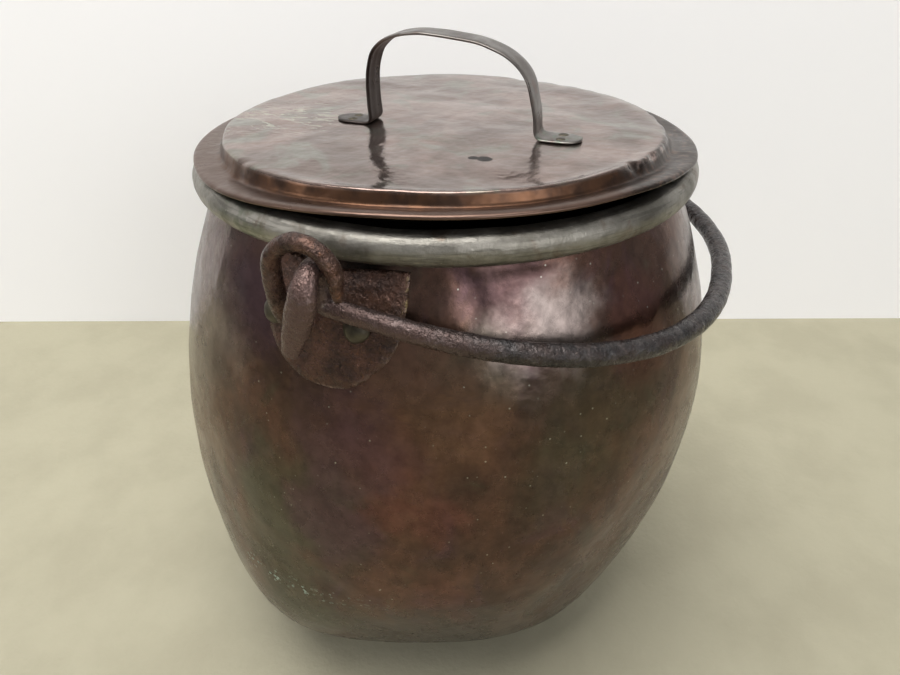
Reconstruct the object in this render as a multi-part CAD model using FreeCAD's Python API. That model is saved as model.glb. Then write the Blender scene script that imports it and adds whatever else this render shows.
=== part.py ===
import FreeCAD, Part

import math
import os

from FreeCAD import Vector

# Copper kettle: a two-part brazed copper pot with a rolled rim, two forged lugs, a swing bail and a
# lift-off lid with a strap handle. Millimetres, +Z up. The origin is the middle of the flat underside,
# on the floor. The bail hangs in lugs on the -X and +X sides and rests folded down towards -Y. The pot is
# hand made: its right (+X) lug sits lower than its left one, so the bail's axis is not quite level.

# Driving dimensions of the pot.
SHEET = 2.0  # copper sheet of the pot
BELLY_RADIUS = 195.0  # widest outer radius of the wall
BELLY_HEIGHT = 198.0
NECK_RADIUS = 153.0  # outer radius of the wall just under the rim
NECK_HEIGHT = 368.0
BOTTOM_CORNER_RADIUS = 115.0  # round of the lower bowl between wall and underside
SEAM_HEIGHT = 142.0  # where the wall's lower edge meets the bowl
SEAM_LAP = 12.0  # how far the bowl's edge runs up inside the wall

# Rim: a sheet roll closed over an iron hoop and the wall's top edge.
RIM_OUTER_RADIUS = 165.0
RIM_TUBE_RADIUS = 9.5
RIM_HEIGHT = 378.0  # middle of the roll
RIM_SHEET = 1.5
HOOP_WIRE_RADIUS = 5.0
HOOP_RADIUS = 158.2  # ring radius of the hoop's middle line
WALL_TOP_HEIGHT = 383.8
RIM_SLOT_INNER_ANGLE = 232.0  # edges of the roll's opening round its tube, 0 outwards and 90 up
RIM_SLOT_OUTER_ANGLE = -104.0

# Lugs: a shaped plate riveted under the rim, drawn out into an open eye that stands clear of it.
PLATE_THICKNESS = 3.0
PLATE_HALF_WIDTH = 40.0
PLATE_SHIFT = 2.0  # the plate sits slightly to the +Y side of the eye
PLATE_TOP_HEIGHT = 366.0
PLATE_SHOULDER_HEIGHT = 338.0  # where the straight sides turn into the round lower edge
PLATE_BOTTOM_HEIGHT = 303.0
PLATE_TOP_DIP = 3.0  # the top edge is slightly hollow
RIGHT_LUG_DROP = 15.0  # how much lower the +X lug sits than the -X lug
EYE_DISTANCE = 190.5  # from the pot's axis to the plane of the eye
EYE_RING_RADIUS = 17.2
EYE_BAR_RADIUS = 4.9
EYE_TIP_RADIUS = 3.2
EYE_TIP_ANGLE = -24.0  # degrees in the eye's plane, 0 towards the folded bail
EYE_ROOT_ANGLE = 205.0
EYE_TAPER_RATE = 3.0  # the tip reaches full thickness in a third of the ring at most
EYE_ROOT_BENDS = (  # from the end of the ring in to the plate: inwards, across and rise
    (1.2, 16.2, -16.5),
    (6.5, 15.8, -26.5),
    (15.0, 14.8, -36.0),
    (25.5, 14.0, -43.0),
)

# Bail: one round forged bar with a hooked end through each eye.
PIVOT_HEIGHT = 375.0  # middle of the left eye
BAIL_FOLD_ANGLE = 8.9  # how far the folded bail hangs below level, degrees
BAIL_HALF_SPAN = 178.5  # inner leg of each hook, from the pot's axis
BAIL_REACH = 195.8  # from the lug axis to the middle of the bow
BAIL_DROP = 20.0  # the bow's plane lies this far under the lug axis
BAIL_BOW_POWER = 0.90  # shape of the bow: 1 would be an ellipse
BAIL_REACH_POWER = 0.76
BAIL_RADIUS = 6.4  # at the middle of the bow
BAIL_END_RADIUS = 5.2
HOOK_OUT = 24.0  # from the inner leg to the outer leg
HOOK_RISE = 5.3  # how far the top of the hook's bend stands over the lug axis
HOOK_REACH = 3.4  # how far the hook stands towards the bow from the lug axis
HOOK_TIP_DROP = 38.0
HOOK_TIP_RADIUS = 3.5
HOOK_CORNER = 8.0  # bend between inner leg and bow
BOW_START_ANGLE = 85.0  # where the bow takes over from the hook's corner, 90 at the lug axis

# Lug rivets: places across the plate and the height of their row.
LUG_RIVET_PLACES = (-14.0, 35.0)  # -Y side, +Y side
LUG_RIVET_HEIGHT = 336.0
LUG_RIVET_SHANK_RADIUS = 3.5
LUG_RIVET_HEAD_RADIUS = 7.4
LUG_RIVET_HEAD_RISE = 4.2
LUG_WASHER_RADIUS = 8.5
LUG_WASHER_THICKNESS = 1.5
LUG_TAIL_RADIUS = 5.6
LUG_TAIL_RISE = 2.6
LUG_PIN_REACH = 12.0  # cutting pins run this far to each side of the wall's surface

# Lid: a raised middle inside a flat flange with a small turned-down lip.
LID_SHEET = 1.5
LID_FLANGE_RADIUS = 162.3
LID_LIP_DEPTH = 2.4
LID_STEP_RADIUS = 146.0  # foot of the step
LID_TOP_RADIUS = 144.0  # top of the step
LID_STEP_RISE = 9.6
LID_SEAT_GAP = 0.05  # between the flange and the top of the rim

# Lid handle: a flat strap bent to an uneven arch, with outturned feet.
STRAP_THICKNESS = 2.0
STRAP_WIDTH = 20.0
STRAP_SPAN = 109.0  # between the two legs
STRAP_FOOT_LENGTH = 27.0
STRAP_HEIGHT = 58.0
STRAP_BEND_HEIGHT = 4.0  # the legs stand straight up to here
STRAP_ARCH = (  # between the legs: shares of the half span and of the height
    (-1.015, 0.455),
    (-0.952, 0.753),
    (-0.763, 0.91),
    (-0.28, 0.981),
    (0.283, 0.926),
    (0.664, 0.797),
    (0.892, 0.559),
    (0.98, 0.25),
)
STRAP_TURN = -90.0  # direction of the arch about Z, degrees from +X
STRAP_SHIFT = (-19.8, -13.2)  # middle of the arch from the lid's axis, in X and Y
STRAP_FOOT_RIVET_OUT = 15.0  # from the leg to the pair of rivets
STRAP_FOOT_RIVET_HALF_GAP = 4.5
STRAP_RIVET_RADIUS = 2.0
STRAP_RIVET_HEAD_RADIUS = 3.3
STRAP_RIVET_HEAD_RISE = 0.9
STRAP_WASHER_RADIUS = 4.2
STRAP_WASHER_THICKNESS = 1.2
STRAP_PIN_REACH = 10.0  # cutting pins run this far above and below the lid

# Worked-out sizes.
UP = Vector(0, 0, 1)
NECK_INSET = BELLY_RADIUS - NECK_RADIUS
NECK_RISE = NECK_HEIGHT - BELLY_HEIGHT
WALL_ARC_RADIUS = (NECK_RISE**2 + NECK_INSET**2) / (2 * NECK_INSET)
WALL_ARC_X = BELLY_RADIUS - WALL_ARC_RADIUS
CORNER_X = WALL_ARC_X + math.sqrt(
    (WALL_ARC_RADIUS - BOTTOM_CORNER_RADIUS) ** 2 - (BELLY_HEIGHT - BOTTOM_CORNER_RADIUS) ** 2
)
RIM_RING_RADIUS = RIM_OUTER_RADIUS - RIM_TUBE_RADIUS
LID_FLANGE_HEIGHT = RIM_HEIGHT + RIM_TUBE_RADIUS + LID_SEAT_GAP
LID_TOP_HEIGHT = LID_FLANGE_HEIGHT + LID_SHEET + LID_STEP_RISE


def wall_radius(height, offset=0.0):
    """Radius of the wall's round side at a height; offset is outwards from the outer surface."""
    return WALL_ARC_X + math.sqrt((WALL_ARC_RADIUS + offset) ** 2 - (height - BELLY_HEIGHT) ** 2)


def wall_arc(low, high, offset=0.0):
    """Arc of the wall's side between two heights, in the XZ plane."""
    ends = [Vector(wall_radius(z, offset), 0, z) for z in (low, (low + high) / 2, high)]
    return Part.Arc(*ends).toShape()


def line(start, end):
    return Part.makeLine(start, end)


def revolved(edges):
    """Solid of revolution about Z from the edges of one closed outline in the XZ plane."""
    outline = Part.Wire(Part.__sortEdges__(edges))
    return Part.Face(outline).revolve(Vector(0, 0, 0), UP, 360)


def joined_outline(stretches):
    """Close a chain of open edges with straight lines between their ends."""
    edges = []
    for number, edge in enumerate(stretches):
        edges.append(edge)
        end = edge.lastVertex(True).Point
        start = stretches[(number + 1) % len(stretches)].firstVertex(True).Point
        if end.distanceToPoint(start) > 1e-6:
            edges.append(line(end, start))
    return edges


def turned_back(edge):
    """The same arc or line run from its end to its start."""
    first = edge.valueAt(edge.LastParameter)
    middle = edge.valueAt((edge.FirstParameter + edge.LastParameter) / 2)
    last = edge.valueAt(edge.FirstParameter)
    return Part.Arc(first, middle, last).toShape()


def band(low, high, inner_offset, outer_offset):
    """Shell of revolution that follows the wall's side between two offsets."""
    outer = wall_arc(low, high, outer_offset)
    inner = turned_back(wall_arc(low, high, inner_offset))
    return revolved(joined_outline([outer, inner]))


def forged_bar(points, radii):
    """Round bar in short straight-sided lengths between circles square to a line through the points."""
    path = Part.BSplineCurve()
    path.interpolate(points)
    side = Vector(0, 0, 1)
    sections = []
    for point, radius in zip(points, radii):
        tangent = path.tangent(path.parameter(point))[0]
        side = side - tangent * side.dot(tangent)
        side.normalize()
        circle = Part.Circle(point, tangent, radius)
        circle.XAxis = side
        sections.append(Part.Wire(circle.toShape()))
    return Part.makeLoft(sections, True, True)


def mirrored(shape):
    """The same piece on the other side of the YZ plane."""
    return shape.mirror(Vector(0, 0, 0), Vector(1, 0, 0))


def wall_frame(side_offset, height, outwards):
    """A point near the -X side of the wall and the outward normal there.

    side_offset is the Y place, and outwards is the distance from the wall's outer surface.
    """
    radius = wall_radius(height)
    turn = math.asin(side_offset / radius)
    radial = Vector(-math.cos(turn), math.sin(turn), 0)
    slope = math.asin((height - BELLY_HEIGHT) / WALL_ARC_RADIUS)
    normal = radial * math.cos(slope) + UP * math.sin(slope)
    return radial * radius + UP * height + normal * outwards, normal


def dome(base, normal, radius, rise):
    """Cap of a sphere on a round base; its flat side is at the base point."""
    ball_radius = (radius**2 + rise**2) / (2 * rise)
    ball = Part.makeSphere(ball_radius, base + normal * (rise - ball_radius))
    cutter = Part.makeCylinder(radius + 1, rise + 1, base, normal)
    return ball.common(cutter)


def corner_point(angle, offset):
    """Point on the bowl's corner round, with the angle in radians from level."""
    radius = BOTTOM_CORNER_RADIUS + offset
    return Vector(CORNER_X + radius * math.cos(angle), 0, BOTTOM_CORNER_RADIUS + radius * math.sin(angle))


def make_pot_wall():
    """Upper part of the pot, from the brazed seam to the edge inside the rim's roll."""
    outer = wall_arc(SEAM_HEIGHT, NECK_HEIGHT)
    inner = wall_arc(SEAM_HEIGHT, NECK_HEIGHT, -SHEET)
    neck_inside = wall_radius(NECK_HEIGHT, -SHEET)
    edge = line(Vector(NECK_RADIUS, 0, WALL_TOP_HEIGHT), Vector(neck_inside, 0, WALL_TOP_HEIGHT))
    return revolved(joined_outline([outer, edge, turned_back(inner)]))


def make_pot_bowl():
    """Lower part of the pot: a flat underside, a wide round, and an edge lapped inside the wall."""
    tangent_angle = math.atan2(BOTTOM_CORNER_RADIUS - BELLY_HEIGHT, CORNER_X - WALL_ARC_X)
    bottom_angle = -math.pi / 2
    middle_angle = (tangent_angle + bottom_angle) / 2
    lap_low = SEAM_HEIGHT - SHEET

    def corner_arc(offset, first, last):
        ends = [corner_point(angle, offset) for angle in (first, middle_angle, last)]
        return Part.Arc(*ends).toShape()

    return revolved(
        joined_outline(
            [
                line(Vector(0, 0, SHEET), Vector(0, 0, 0)),
                corner_arc(0, bottom_angle, tangent_angle),
                wall_arc(corner_point(tangent_angle, 0).z, SEAM_HEIGHT),
                wall_arc(SEAM_HEIGHT, SEAM_HEIGHT + SEAM_LAP, -SHEET),
                turned_back(wall_arc(lap_low, SEAM_HEIGHT + SEAM_LAP, -2 * SHEET)),
                turned_back(wall_arc(corner_point(tangent_angle, -SHEET).z, lap_low, -SHEET)),
                corner_arc(-SHEET, tangent_angle, bottom_angle),
            ]
        )
    )


def make_rim_roll():
    """Sheet closed over the hoop, open below where the wall's edge comes up into it."""
    first = math.radians(RIM_SLOT_OUTER_ANGLE)
    last = math.radians(RIM_SLOT_INNER_ANGLE)

    def arc(radius):
        angles = (first, (first + last) / 2, last)
        ends = [
            Vector(RIM_RING_RADIUS + radius * math.cos(a), 0, RIM_HEIGHT + radius * math.sin(a))
            for a in angles
        ]
        return Part.Arc(*ends).toShape()

    inner = turned_back(arc(RIM_TUBE_RADIUS - RIM_SHEET))
    return revolved(joined_outline([arc(RIM_TUBE_RADIUS), inner]))


def make_rim_hoop():
    """Iron wire ring that stiffens the rim from inside the roll."""
    return Part.makeTorus(HOOP_RADIUS, HOOP_WIRE_RADIUS, Vector(0, 0, RIM_HEIGHT), UP)


def plate_prism(drop):
    """Outline of the lug plate seen from -X, as a block that runs through the wall."""
    low_y = PLATE_SHIFT - PLATE_HALF_WIDTH
    high_y = PLATE_SHIFT + PLATE_HALF_WIDTH

    def at(y, z):
        return Vector(-BELLY_RADIUS, y, z - drop)

    edges = [
        Part.Arc(
            at(low_y, PLATE_TOP_HEIGHT),
            at(PLATE_SHIFT, PLATE_TOP_HEIGHT - PLATE_TOP_DIP),
            at(high_y, PLATE_TOP_HEIGHT),
        ).toShape(),
        line(at(high_y, PLATE_TOP_HEIGHT), at(high_y, PLATE_SHOULDER_HEIGHT)),
        Part.Arc(
            at(high_y, PLATE_SHOULDER_HEIGHT),
            at(PLATE_SHIFT, PLATE_BOTTOM_HEIGHT),
            at(low_y, PLATE_SHOULDER_HEIGHT),
        ).toShape(),
        line(at(low_y, PLATE_SHOULDER_HEIGHT), at(low_y, PLATE_TOP_HEIGHT)),
    ]
    return Part.Face(Part.Wire(edges)).extrude(Vector(BELLY_RADIUS / 2, 0, 0))


def eye_line(drop):
    """Middle line of the eye: a tapering tip, most of a ring, then the root bent in to the plate."""
    steps = 32
    eye_height = PIVOT_HEIGHT - drop
    points, radii = [], []
    for step in range(steps + 1):
        share = step / steps
        angle = math.radians(EYE_TIP_ANGLE + share * (EYE_ROOT_ANGLE - EYE_TIP_ANGLE))
        across = -EYE_RING_RADIUS * math.cos(angle)
        rise = EYE_RING_RADIUS * math.sin(angle)
        points.append(Vector(-EYE_DISTANCE, across, eye_height + rise))
        taper = min(1, EYE_TIP_RADIUS / EYE_BAR_RADIUS + EYE_TAPER_RATE * share)
        radii.append(EYE_BAR_RADIUS * taper)
    for inwards, across, rise in EYE_ROOT_BENDS:
        points.append(Vector(inwards - EYE_DISTANCE, across, eye_height + rise))
        radii.append(EYE_BAR_RADIUS)
    return points, radii


def pot_core(low, high):
    """Everything inside the wall's outer surface between two heights."""
    side = wall_arc(low, high)
    axis = line(Vector(0, 0, high), Vector(0, 0, low))
    return revolved(joined_outline([side, axis]))


def lug_rivet_holes(radius, drop):
    """Pins through plate and wall, used as cutters for the holes."""
    pins = []
    for place in LUG_RIVET_PLACES:
        base, normal = wall_frame(place, LUG_RIVET_HEIGHT - drop, -LUG_PIN_REACH)
        pins.append(Part.makeCylinder(radius, 2 * LUG_PIN_REACH, base, normal))
    return pins


def make_lug(drop):
    """Plate and eye of a lug, forged as one; drop is how far it sits below the left lug's place."""
    below_plate = 5
    low, high = PLATE_BOTTOM_HEIGHT - drop - below_plate, NECK_HEIGHT
    plate = band(low, high, 0, PLATE_THICKNESS).common(plate_prism(drop))
    eye = forged_bar(*eye_line(drop)).cut(pot_core(low, high))
    lug = plate.fuse(eye).removeSplitter()
    for pin in lug_rivet_holes(LUG_RIVET_SHANK_RADIUS, drop):
        lug = lug.cut(pin)
    return lug


def make_lug_rivets(drop):
    """Rivets of a lug: domed heads outside, and tails hammered down on the washers inside."""
    height = LUG_RIVET_HEIGHT - drop
    tail_base = -SHEET - LUG_WASHER_THICKNESS
    inside_tail = LUG_TAIL_RISE / 2
    washers = lug_washer_sheet(drop)
    rivets = []
    for place in LUG_RIVET_PLACES:
        under_head, normal = wall_frame(place, height, PLATE_THICKNESS)
        under_tail = wall_frame(place, height, tail_base)[0]
        shank_start = under_tail - normal * inside_tail
        grip = PLATE_THICKNESS - tail_base + inside_tail
        shank = Part.makeCylinder(LUG_RIVET_SHANK_RADIUS, grip, shank_start, normal)
        head = dome(under_head, normal, LUG_RIVET_HEAD_RADIUS, LUG_RIVET_HEAD_RISE)
        tail = dome(under_tail, normal * -1, LUG_TAIL_RADIUS, LUG_TAIL_RISE).cut(washers)
        rivets.append(shank.fuse([head, tail]).removeSplitter())
    return rivets


def lug_washer_sheet(drop):
    """Band on the inside of the wall at rivet height, as thick as the washers."""
    height = LUG_RIVET_HEIGHT - drop
    reach = 2 * LUG_WASHER_RADIUS
    return band(height - reach, height + reach, -SHEET - LUG_WASHER_THICKNESS, -SHEET)


def make_lug_washers(drop):
    """Copper washers under the rivet tails, dished to the inside of the wall."""
    sheet = lug_washer_sheet(drop)
    blanks = lug_rivet_holes(LUG_WASHER_RADIUS, drop)
    holes = lug_rivet_holes(LUG_RIVET_SHANK_RADIUS, drop)
    return [sheet.common(blank).cut(hole) for blank, hole in zip(blanks, holes)]


def bail_half_line():
    """Middle line of the bail from the hook's tip at +X to just short of the middle of the bow.

    Each entry is the distance out along the lug axis, the drop under it, the reach and the bar's radius.
    """
    bend_radius = HOOK_OUT / 2
    bend_drop = bend_radius - HOOK_RISE
    stations = []
    tip_steps = 5
    for step in range(tip_steps):
        share = 1 - step / tip_steps
        drop = bend_drop + share * (HOOK_TIP_DROP - bend_drop)
        radius = BAIL_END_RADIUS - (BAIL_END_RADIUS - HOOK_TIP_RADIUS) * share**2
        stations.append((BAIL_HALF_SPAN + HOOK_OUT, drop, HOOK_REACH, radius))
    bend_steps = 12
    for step in range(bend_steps + 1):
        angle = math.pi * step / bend_steps
        out = BAIL_HALF_SPAN + bend_radius * (1 + math.cos(angle))
        drop = bend_drop - bend_radius * math.sin(angle)
        stations.append((out, drop, HOOK_REACH, BAIL_END_RADIUS))
    corner_steps = 4
    for step in range(1, corner_steps + 1):
        angle = math.pi / 2 * step / corner_steps
        drop = BAIL_DROP - HOOK_CORNER * (1 - math.sin(angle))
        reach = HOOK_REACH + HOOK_CORNER * (1 - math.cos(angle))
        stations.append((BAIL_HALF_SPAN, drop, reach, BAIL_END_RADIUS))
    bow_steps = 24
    for step in range(1, bow_steps):
        angle = math.radians(BOW_START_ANGLE * (1 - step / bow_steps))
        out = BAIL_HALF_SPAN * math.sin(angle) ** BAIL_BOW_POWER
        reach = BAIL_REACH * math.cos(angle) ** BAIL_REACH_POWER
        swell = BAIL_END_RADIUS + (BAIL_RADIUS - BAIL_END_RADIUS) * math.cos(angle) ** 0.5
        stations.append((out, BAIL_DROP, reach, swell))
    return stations


def make_bail():
    """Swing handle, folded down towards -Y, with a hook through each eye."""
    fold = math.radians(BAIL_FOLD_ANGLE)
    forward = Vector(0, -math.cos(fold), -math.sin(fold))
    down = Vector(0, math.sin(fold), -math.cos(fold))
    half = bail_half_line()
    middle = (0, BAIL_DROP, BAIL_REACH, BAIL_RADIUS)
    other_half = [(-out, drop, reach, radius) for out, drop, reach, radius in reversed(half)]
    points, radii = [], []
    for out, drop, reach, radius in half + [middle] + other_half:
        points.append(Vector(out, 0, 0) + down * drop + forward * reach)
        radii.append(radius)
    bail = forged_bar(points, radii)
    axis_tilt = math.degrees(math.atan2(RIGHT_LUG_DROP, 2 * EYE_DISTANCE))
    bail.rotate(Vector(0, 0, 0), Vector(0, 1, 0), axis_tilt)
    bail.translate(UP * (PIVOT_HEIGHT - RIGHT_LUG_DROP / 2))
    return bail


def strap_place(shape):
    """Move a handle piece from its own frame, with the arch along X, to its place on the lid."""
    shape.rotate(Vector(0, 0, 0), UP, STRAP_TURN)
    shape.translate(Vector(STRAP_SHIFT[0], STRAP_SHIFT[1], LID_TOP_HEIGHT))
    return shape


def strap_rivet_spots():
    """The middle of each handle rivet, in the handle's own frame."""
    out = STRAP_SPAN / 2 + STRAP_FOOT_RIVET_OUT
    return [
        Vector(end * out, side * STRAP_FOOT_RIVET_HALF_GAP, 0)
        for end in (-1, 1)
        for side in (-1, 1)
    ]


def strap_rivet_holes():
    """Upright pins at the handle rivets, used as cutters for the holes."""
    length = 2 * STRAP_PIN_REACH
    return [
        Part.makeCylinder(STRAP_RIVET_RADIUS, length, spot - UP * STRAP_PIN_REACH, UP)
        for spot in strap_rivet_spots()
    ]


def make_lid_pan():
    """Lid: flange and lip that sit on the rim, and a raised flat middle."""
    flange_top = LID_FLANGE_HEIGHT + LID_SHEET
    lip_low = flange_top - LID_LIP_DEPTH
    lip_inside = LID_FLANGE_RADIUS - LID_SHEET
    corners = [
        (0, LID_TOP_HEIGHT),
        (LID_TOP_RADIUS, LID_TOP_HEIGHT),
        (LID_STEP_RADIUS, flange_top),
        (LID_FLANGE_RADIUS, flange_top),
        (LID_FLANGE_RADIUS, lip_low),
        (lip_inside, lip_low),
        (lip_inside, LID_FLANGE_HEIGHT),
        (LID_STEP_RADIUS - LID_SHEET, LID_FLANGE_HEIGHT),
        (LID_TOP_RADIUS - LID_SHEET, LID_TOP_HEIGHT - LID_SHEET),
        (0, LID_TOP_HEIGHT - LID_SHEET),
    ]
    points = [Vector(radius, 0, height) for radius, height in corners]
    outline = Part.makePolygon(points + points[:1])
    pan = Part.Face(outline).revolve(Vector(0, 0, 0), UP, 360)
    for pin in strap_rivet_holes():
        pan = pan.cut(strap_place(pin))
    return pan


def make_lid_handle():
    """Flat strap: two feet on the lid, two upright legs and an arch highest near one leg."""
    half_span = STRAP_SPAN / 2
    half_sheet = STRAP_THICKNESS / 2
    arch_points = [Vector(-half_span, 0, STRAP_BEND_HEIGHT)]
    arch_points += [Vector(along * half_span, 0, rise * STRAP_HEIGHT) for along, rise in STRAP_ARCH]
    arch_points.append(Vector(half_span, 0, STRAP_BEND_HEIGHT))
    middle = Part.BSplineCurve()
    middle.interpolate(arch_points)

    def offset_edge(distance):
        moved = []
        for point in arch_points:
            tangent = middle.tangent(middle.parameter(point))[0]
            moved.append(point + Vector(-tangent.z, 0, tangent.x) * distance)
        moved[0].z = STRAP_BEND_HEIGHT
        moved[-1].z = STRAP_BEND_HEIGHT
        curve = Part.BSplineCurve()
        curve.interpolate(moved)
        return curve.toShape()

    foot_end = half_span + STRAP_FOOT_LENGTH
    outer = offset_edge(half_sheet)
    inner = offset_edge(-half_sheet)
    outer_start = outer.valueAt(outer.FirstParameter)
    outer_stop = outer.valueAt(outer.LastParameter)
    inner_start = inner.valueAt(inner.FirstParameter)
    inner_stop = inner.valueAt(inner.LastParameter)
    right = [
        outer_stop,
        Vector(outer_stop.x, 0, STRAP_THICKNESS),
        Vector(foot_end, 0, STRAP_THICKNESS),
        Vector(foot_end, 0, 0),
        Vector(inner_stop.x, 0, 0),
        inner_stop,
    ]
    left = [
        inner_start,
        Vector(inner_start.x, 0, 0),
        Vector(-foot_end, 0, 0),
        Vector(-foot_end, 0, STRAP_THICKNESS),
        Vector(outer_start.x, 0, STRAP_THICKNESS),
        outer_start,
    ]
    edges = [outer, inner] + Part.makePolygon(right).Edges + Part.makePolygon(left).Edges
    outline = Part.Wire(Part.__sortEdges__(edges))
    strap = Part.Face(outline).extrude(Vector(0, STRAP_WIDTH, 0))
    strap.translate(Vector(0, -STRAP_WIDTH / 2, 0))
    strap = strap.common(rounded_strip(foot_end, STRAP_WIDTH / 2, 2 * STRAP_HEIGHT))
    for pin in strap_rivet_holes():
        strap = strap.cut(pin)
    return strap_place(strap)


def rounded_strip(half_length, radius, height):
    """Upright block over a strip with round ends, centred on the origin."""
    straight = half_length - radius
    block = Part.makeBox(2 * straight, 2 * radius, height, Vector(-straight, -radius, 0))
    ends = [Part.makeCylinder(radius, height, Vector(end * straight, 0, 0), UP) for end in (-1, 1)]
    return block.fuse(ends)


def make_handle_rivets():
    """Handle rivets with low heads on the feet and tails over the washers under the lid."""
    low = -LID_SHEET - STRAP_WASHER_THICKNESS
    rivets = []
    for spot in strap_rivet_spots():
        shank = Part.makeCylinder(STRAP_RIVET_RADIUS, STRAP_THICKNESS - low, spot + UP * low, UP)
        head = dome(spot + UP * STRAP_THICKNESS, UP, STRAP_RIVET_HEAD_RADIUS, STRAP_RIVET_HEAD_RISE)
        tail = dome(spot + UP * low, UP * -1, STRAP_RIVET_HEAD_RADIUS, STRAP_RIVET_HEAD_RISE)
        rivets.append(strap_place(shank.fuse([head, tail]).removeSplitter()))
    return rivets


def make_handle_washers():
    """Small round washers under the lid, one on each handle rivet."""
    low = -LID_SHEET - STRAP_WASHER_THICKNESS
    washers = []
    for spot in strap_rivet_spots():
        disc = Part.makeCylinder(STRAP_WASHER_RADIUS, STRAP_WASHER_THICKNESS, spot + UP * low, UP)
        hole = Part.makeCylinder(STRAP_RIVET_RADIUS, STRAP_WASHER_THICKNESS, spot + UP * low, UP)
        washers.append(strap_place(disc.cut(hole)))
    return washers


def make_nodes():
    """Every piece by name; a list of solids is one node of like pieces."""
    wall = make_pot_wall()
    for left_pin in lug_rivet_holes(LUG_RIVET_SHANK_RADIUS, 0):
        wall = wall.cut(left_pin)
    for right_pin in lug_rivet_holes(LUG_RIVET_SHANK_RADIUS, RIGHT_LUG_DROP):
        wall = wall.cut(mirrored(right_pin))
    return {
        "pot_wall": [wall],
        "pot_bowl": [make_pot_bowl()],
        "rim_roll": [make_rim_roll()],
        "rim_hoop": [make_rim_hoop()],
        "lug_left": [make_lug(0)],
        "lug_right": [mirrored(make_lug(RIGHT_LUG_DROP))],
        "lug_rivets_left": make_lug_rivets(0),
        "lug_rivets_right": [mirrored(rivet) for rivet in make_lug_rivets(RIGHT_LUG_DROP)],
        "lug_washers_left": make_lug_washers(0),
        "lug_washers_right": [mirrored(washer) for washer in make_lug_washers(RIGHT_LUG_DROP)],
        "bail": [make_bail()],
        "lid_pan": [make_lid_pan()],
        "lid_handle": [make_lid_handle()],
        "handle_rivets": make_handle_rivets(),
        "handle_washers": make_handle_washers(),
    }


def main():
    os.makedirs("parts", exist_ok=True)
    for name, solids in make_nodes().items():
        shape = solids[0] if len(solids) == 1 else Part.makeCompound(solids)
        shape.exportStep(f"parts/{name}.step")
        print(name, len(shape.Solids), shape.isValid(), round(shape.Volume / 1000, 1))


main()
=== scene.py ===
import math

import bmesh
import bpy
from mathutils import Matrix, Vector, noise


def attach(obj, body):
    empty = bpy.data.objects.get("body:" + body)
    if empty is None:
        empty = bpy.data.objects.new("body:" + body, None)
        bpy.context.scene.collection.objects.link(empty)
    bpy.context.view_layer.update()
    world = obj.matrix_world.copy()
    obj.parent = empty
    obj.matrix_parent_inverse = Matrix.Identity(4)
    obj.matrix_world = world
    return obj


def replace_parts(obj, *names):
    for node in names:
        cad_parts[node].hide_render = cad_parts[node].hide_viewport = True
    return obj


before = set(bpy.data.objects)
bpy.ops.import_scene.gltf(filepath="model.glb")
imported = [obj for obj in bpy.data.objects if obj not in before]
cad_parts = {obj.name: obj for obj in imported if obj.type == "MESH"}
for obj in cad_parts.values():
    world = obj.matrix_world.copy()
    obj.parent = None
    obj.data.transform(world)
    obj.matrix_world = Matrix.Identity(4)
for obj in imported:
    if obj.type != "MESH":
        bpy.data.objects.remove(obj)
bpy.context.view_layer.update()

# Copper kettle: hammered copper pot, rolled rim, forged lugs and bail, wavy lid with a strap handle.
# Lengths below are in millimetres in the frame's own axes, and MM turns them into metres.
MM = 0.001
UP = Vector((0, 0, 1))
OUTWARDS_X = Vector((1, 0, 0))

# Pot, as in the CAD part.
SHEET = 2.0
BELLY_RADIUS = 195.0
BELLY_HEIGHT = 198.0
NECK_HEIGHT = 368.0
WALL_ARC_RADIUS = 365.05
WALL_ARC_X = BELLY_RADIUS - WALL_ARC_RADIUS
BOTTOM_CORNER_RADIUS = 115.0
CORNER_X = WALL_ARC_X + math.sqrt(
    (WALL_ARC_RADIUS - BOTTOM_CORNER_RADIUS) ** 2 - (BELLY_HEIGHT - BOTTOM_CORNER_RADIUS) ** 2
)
SEAM_HEIGHT = 142.0
SEAM_LAP = 12.0
SEAM_CRISP = 0.3  # rows of points this close to the seam keep its line thin
WALL_TOP_HEIGHT = 383.8
NECK_MIDDLE = 376.0
TURNS = 480  # points round the pot

# Hand-made shape of the pot.
LEAN = 18.0  # how far the base stands to one side of the rim
LEAN_DIRECTION = Vector((-0.35, 0.937, 0))
LEAN_START = 300.0  # height where the lean begins
HAMMER_SIZE = 26.0
HAMMER_DEPTH = 0.35
BODY_DENTS = (  # turn about Z in degrees, height, half width and depth; positive goes inwards
    (200, 58, 52, 8.0),
    (163, 92, 44, -6.5),
    (214, 352, 20, 1.5),
    (222, 342, 17, 1.2),
    (206, 349, 13, 1.0),
    (230, 350, 16, 1.0),
    (238, 150, 38, 5.0),
    (229, 108, 26, 3.0),
    (247, 205, 34, 2.2),
    (152, 300, 30, 1.5),
    (146, 215, 34, 1.6),
    (60, 240, 38, 2.0),
    (20, 120, 30, 2.4),
    (320, 280, 36, 1.8),
    (290, 160, 30, 2.2),
    (100, 130, 34, 2.0),
)

# Rim.
RIM_RING_RADIUS = 155.5
RIM_HEIGHT = 378.0
RIM_TUBE_RADIUS = 9.5
RIM_SHEET = 1.5
RIM_SLOT_ANGLES = (-104.0, 232.0)

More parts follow.
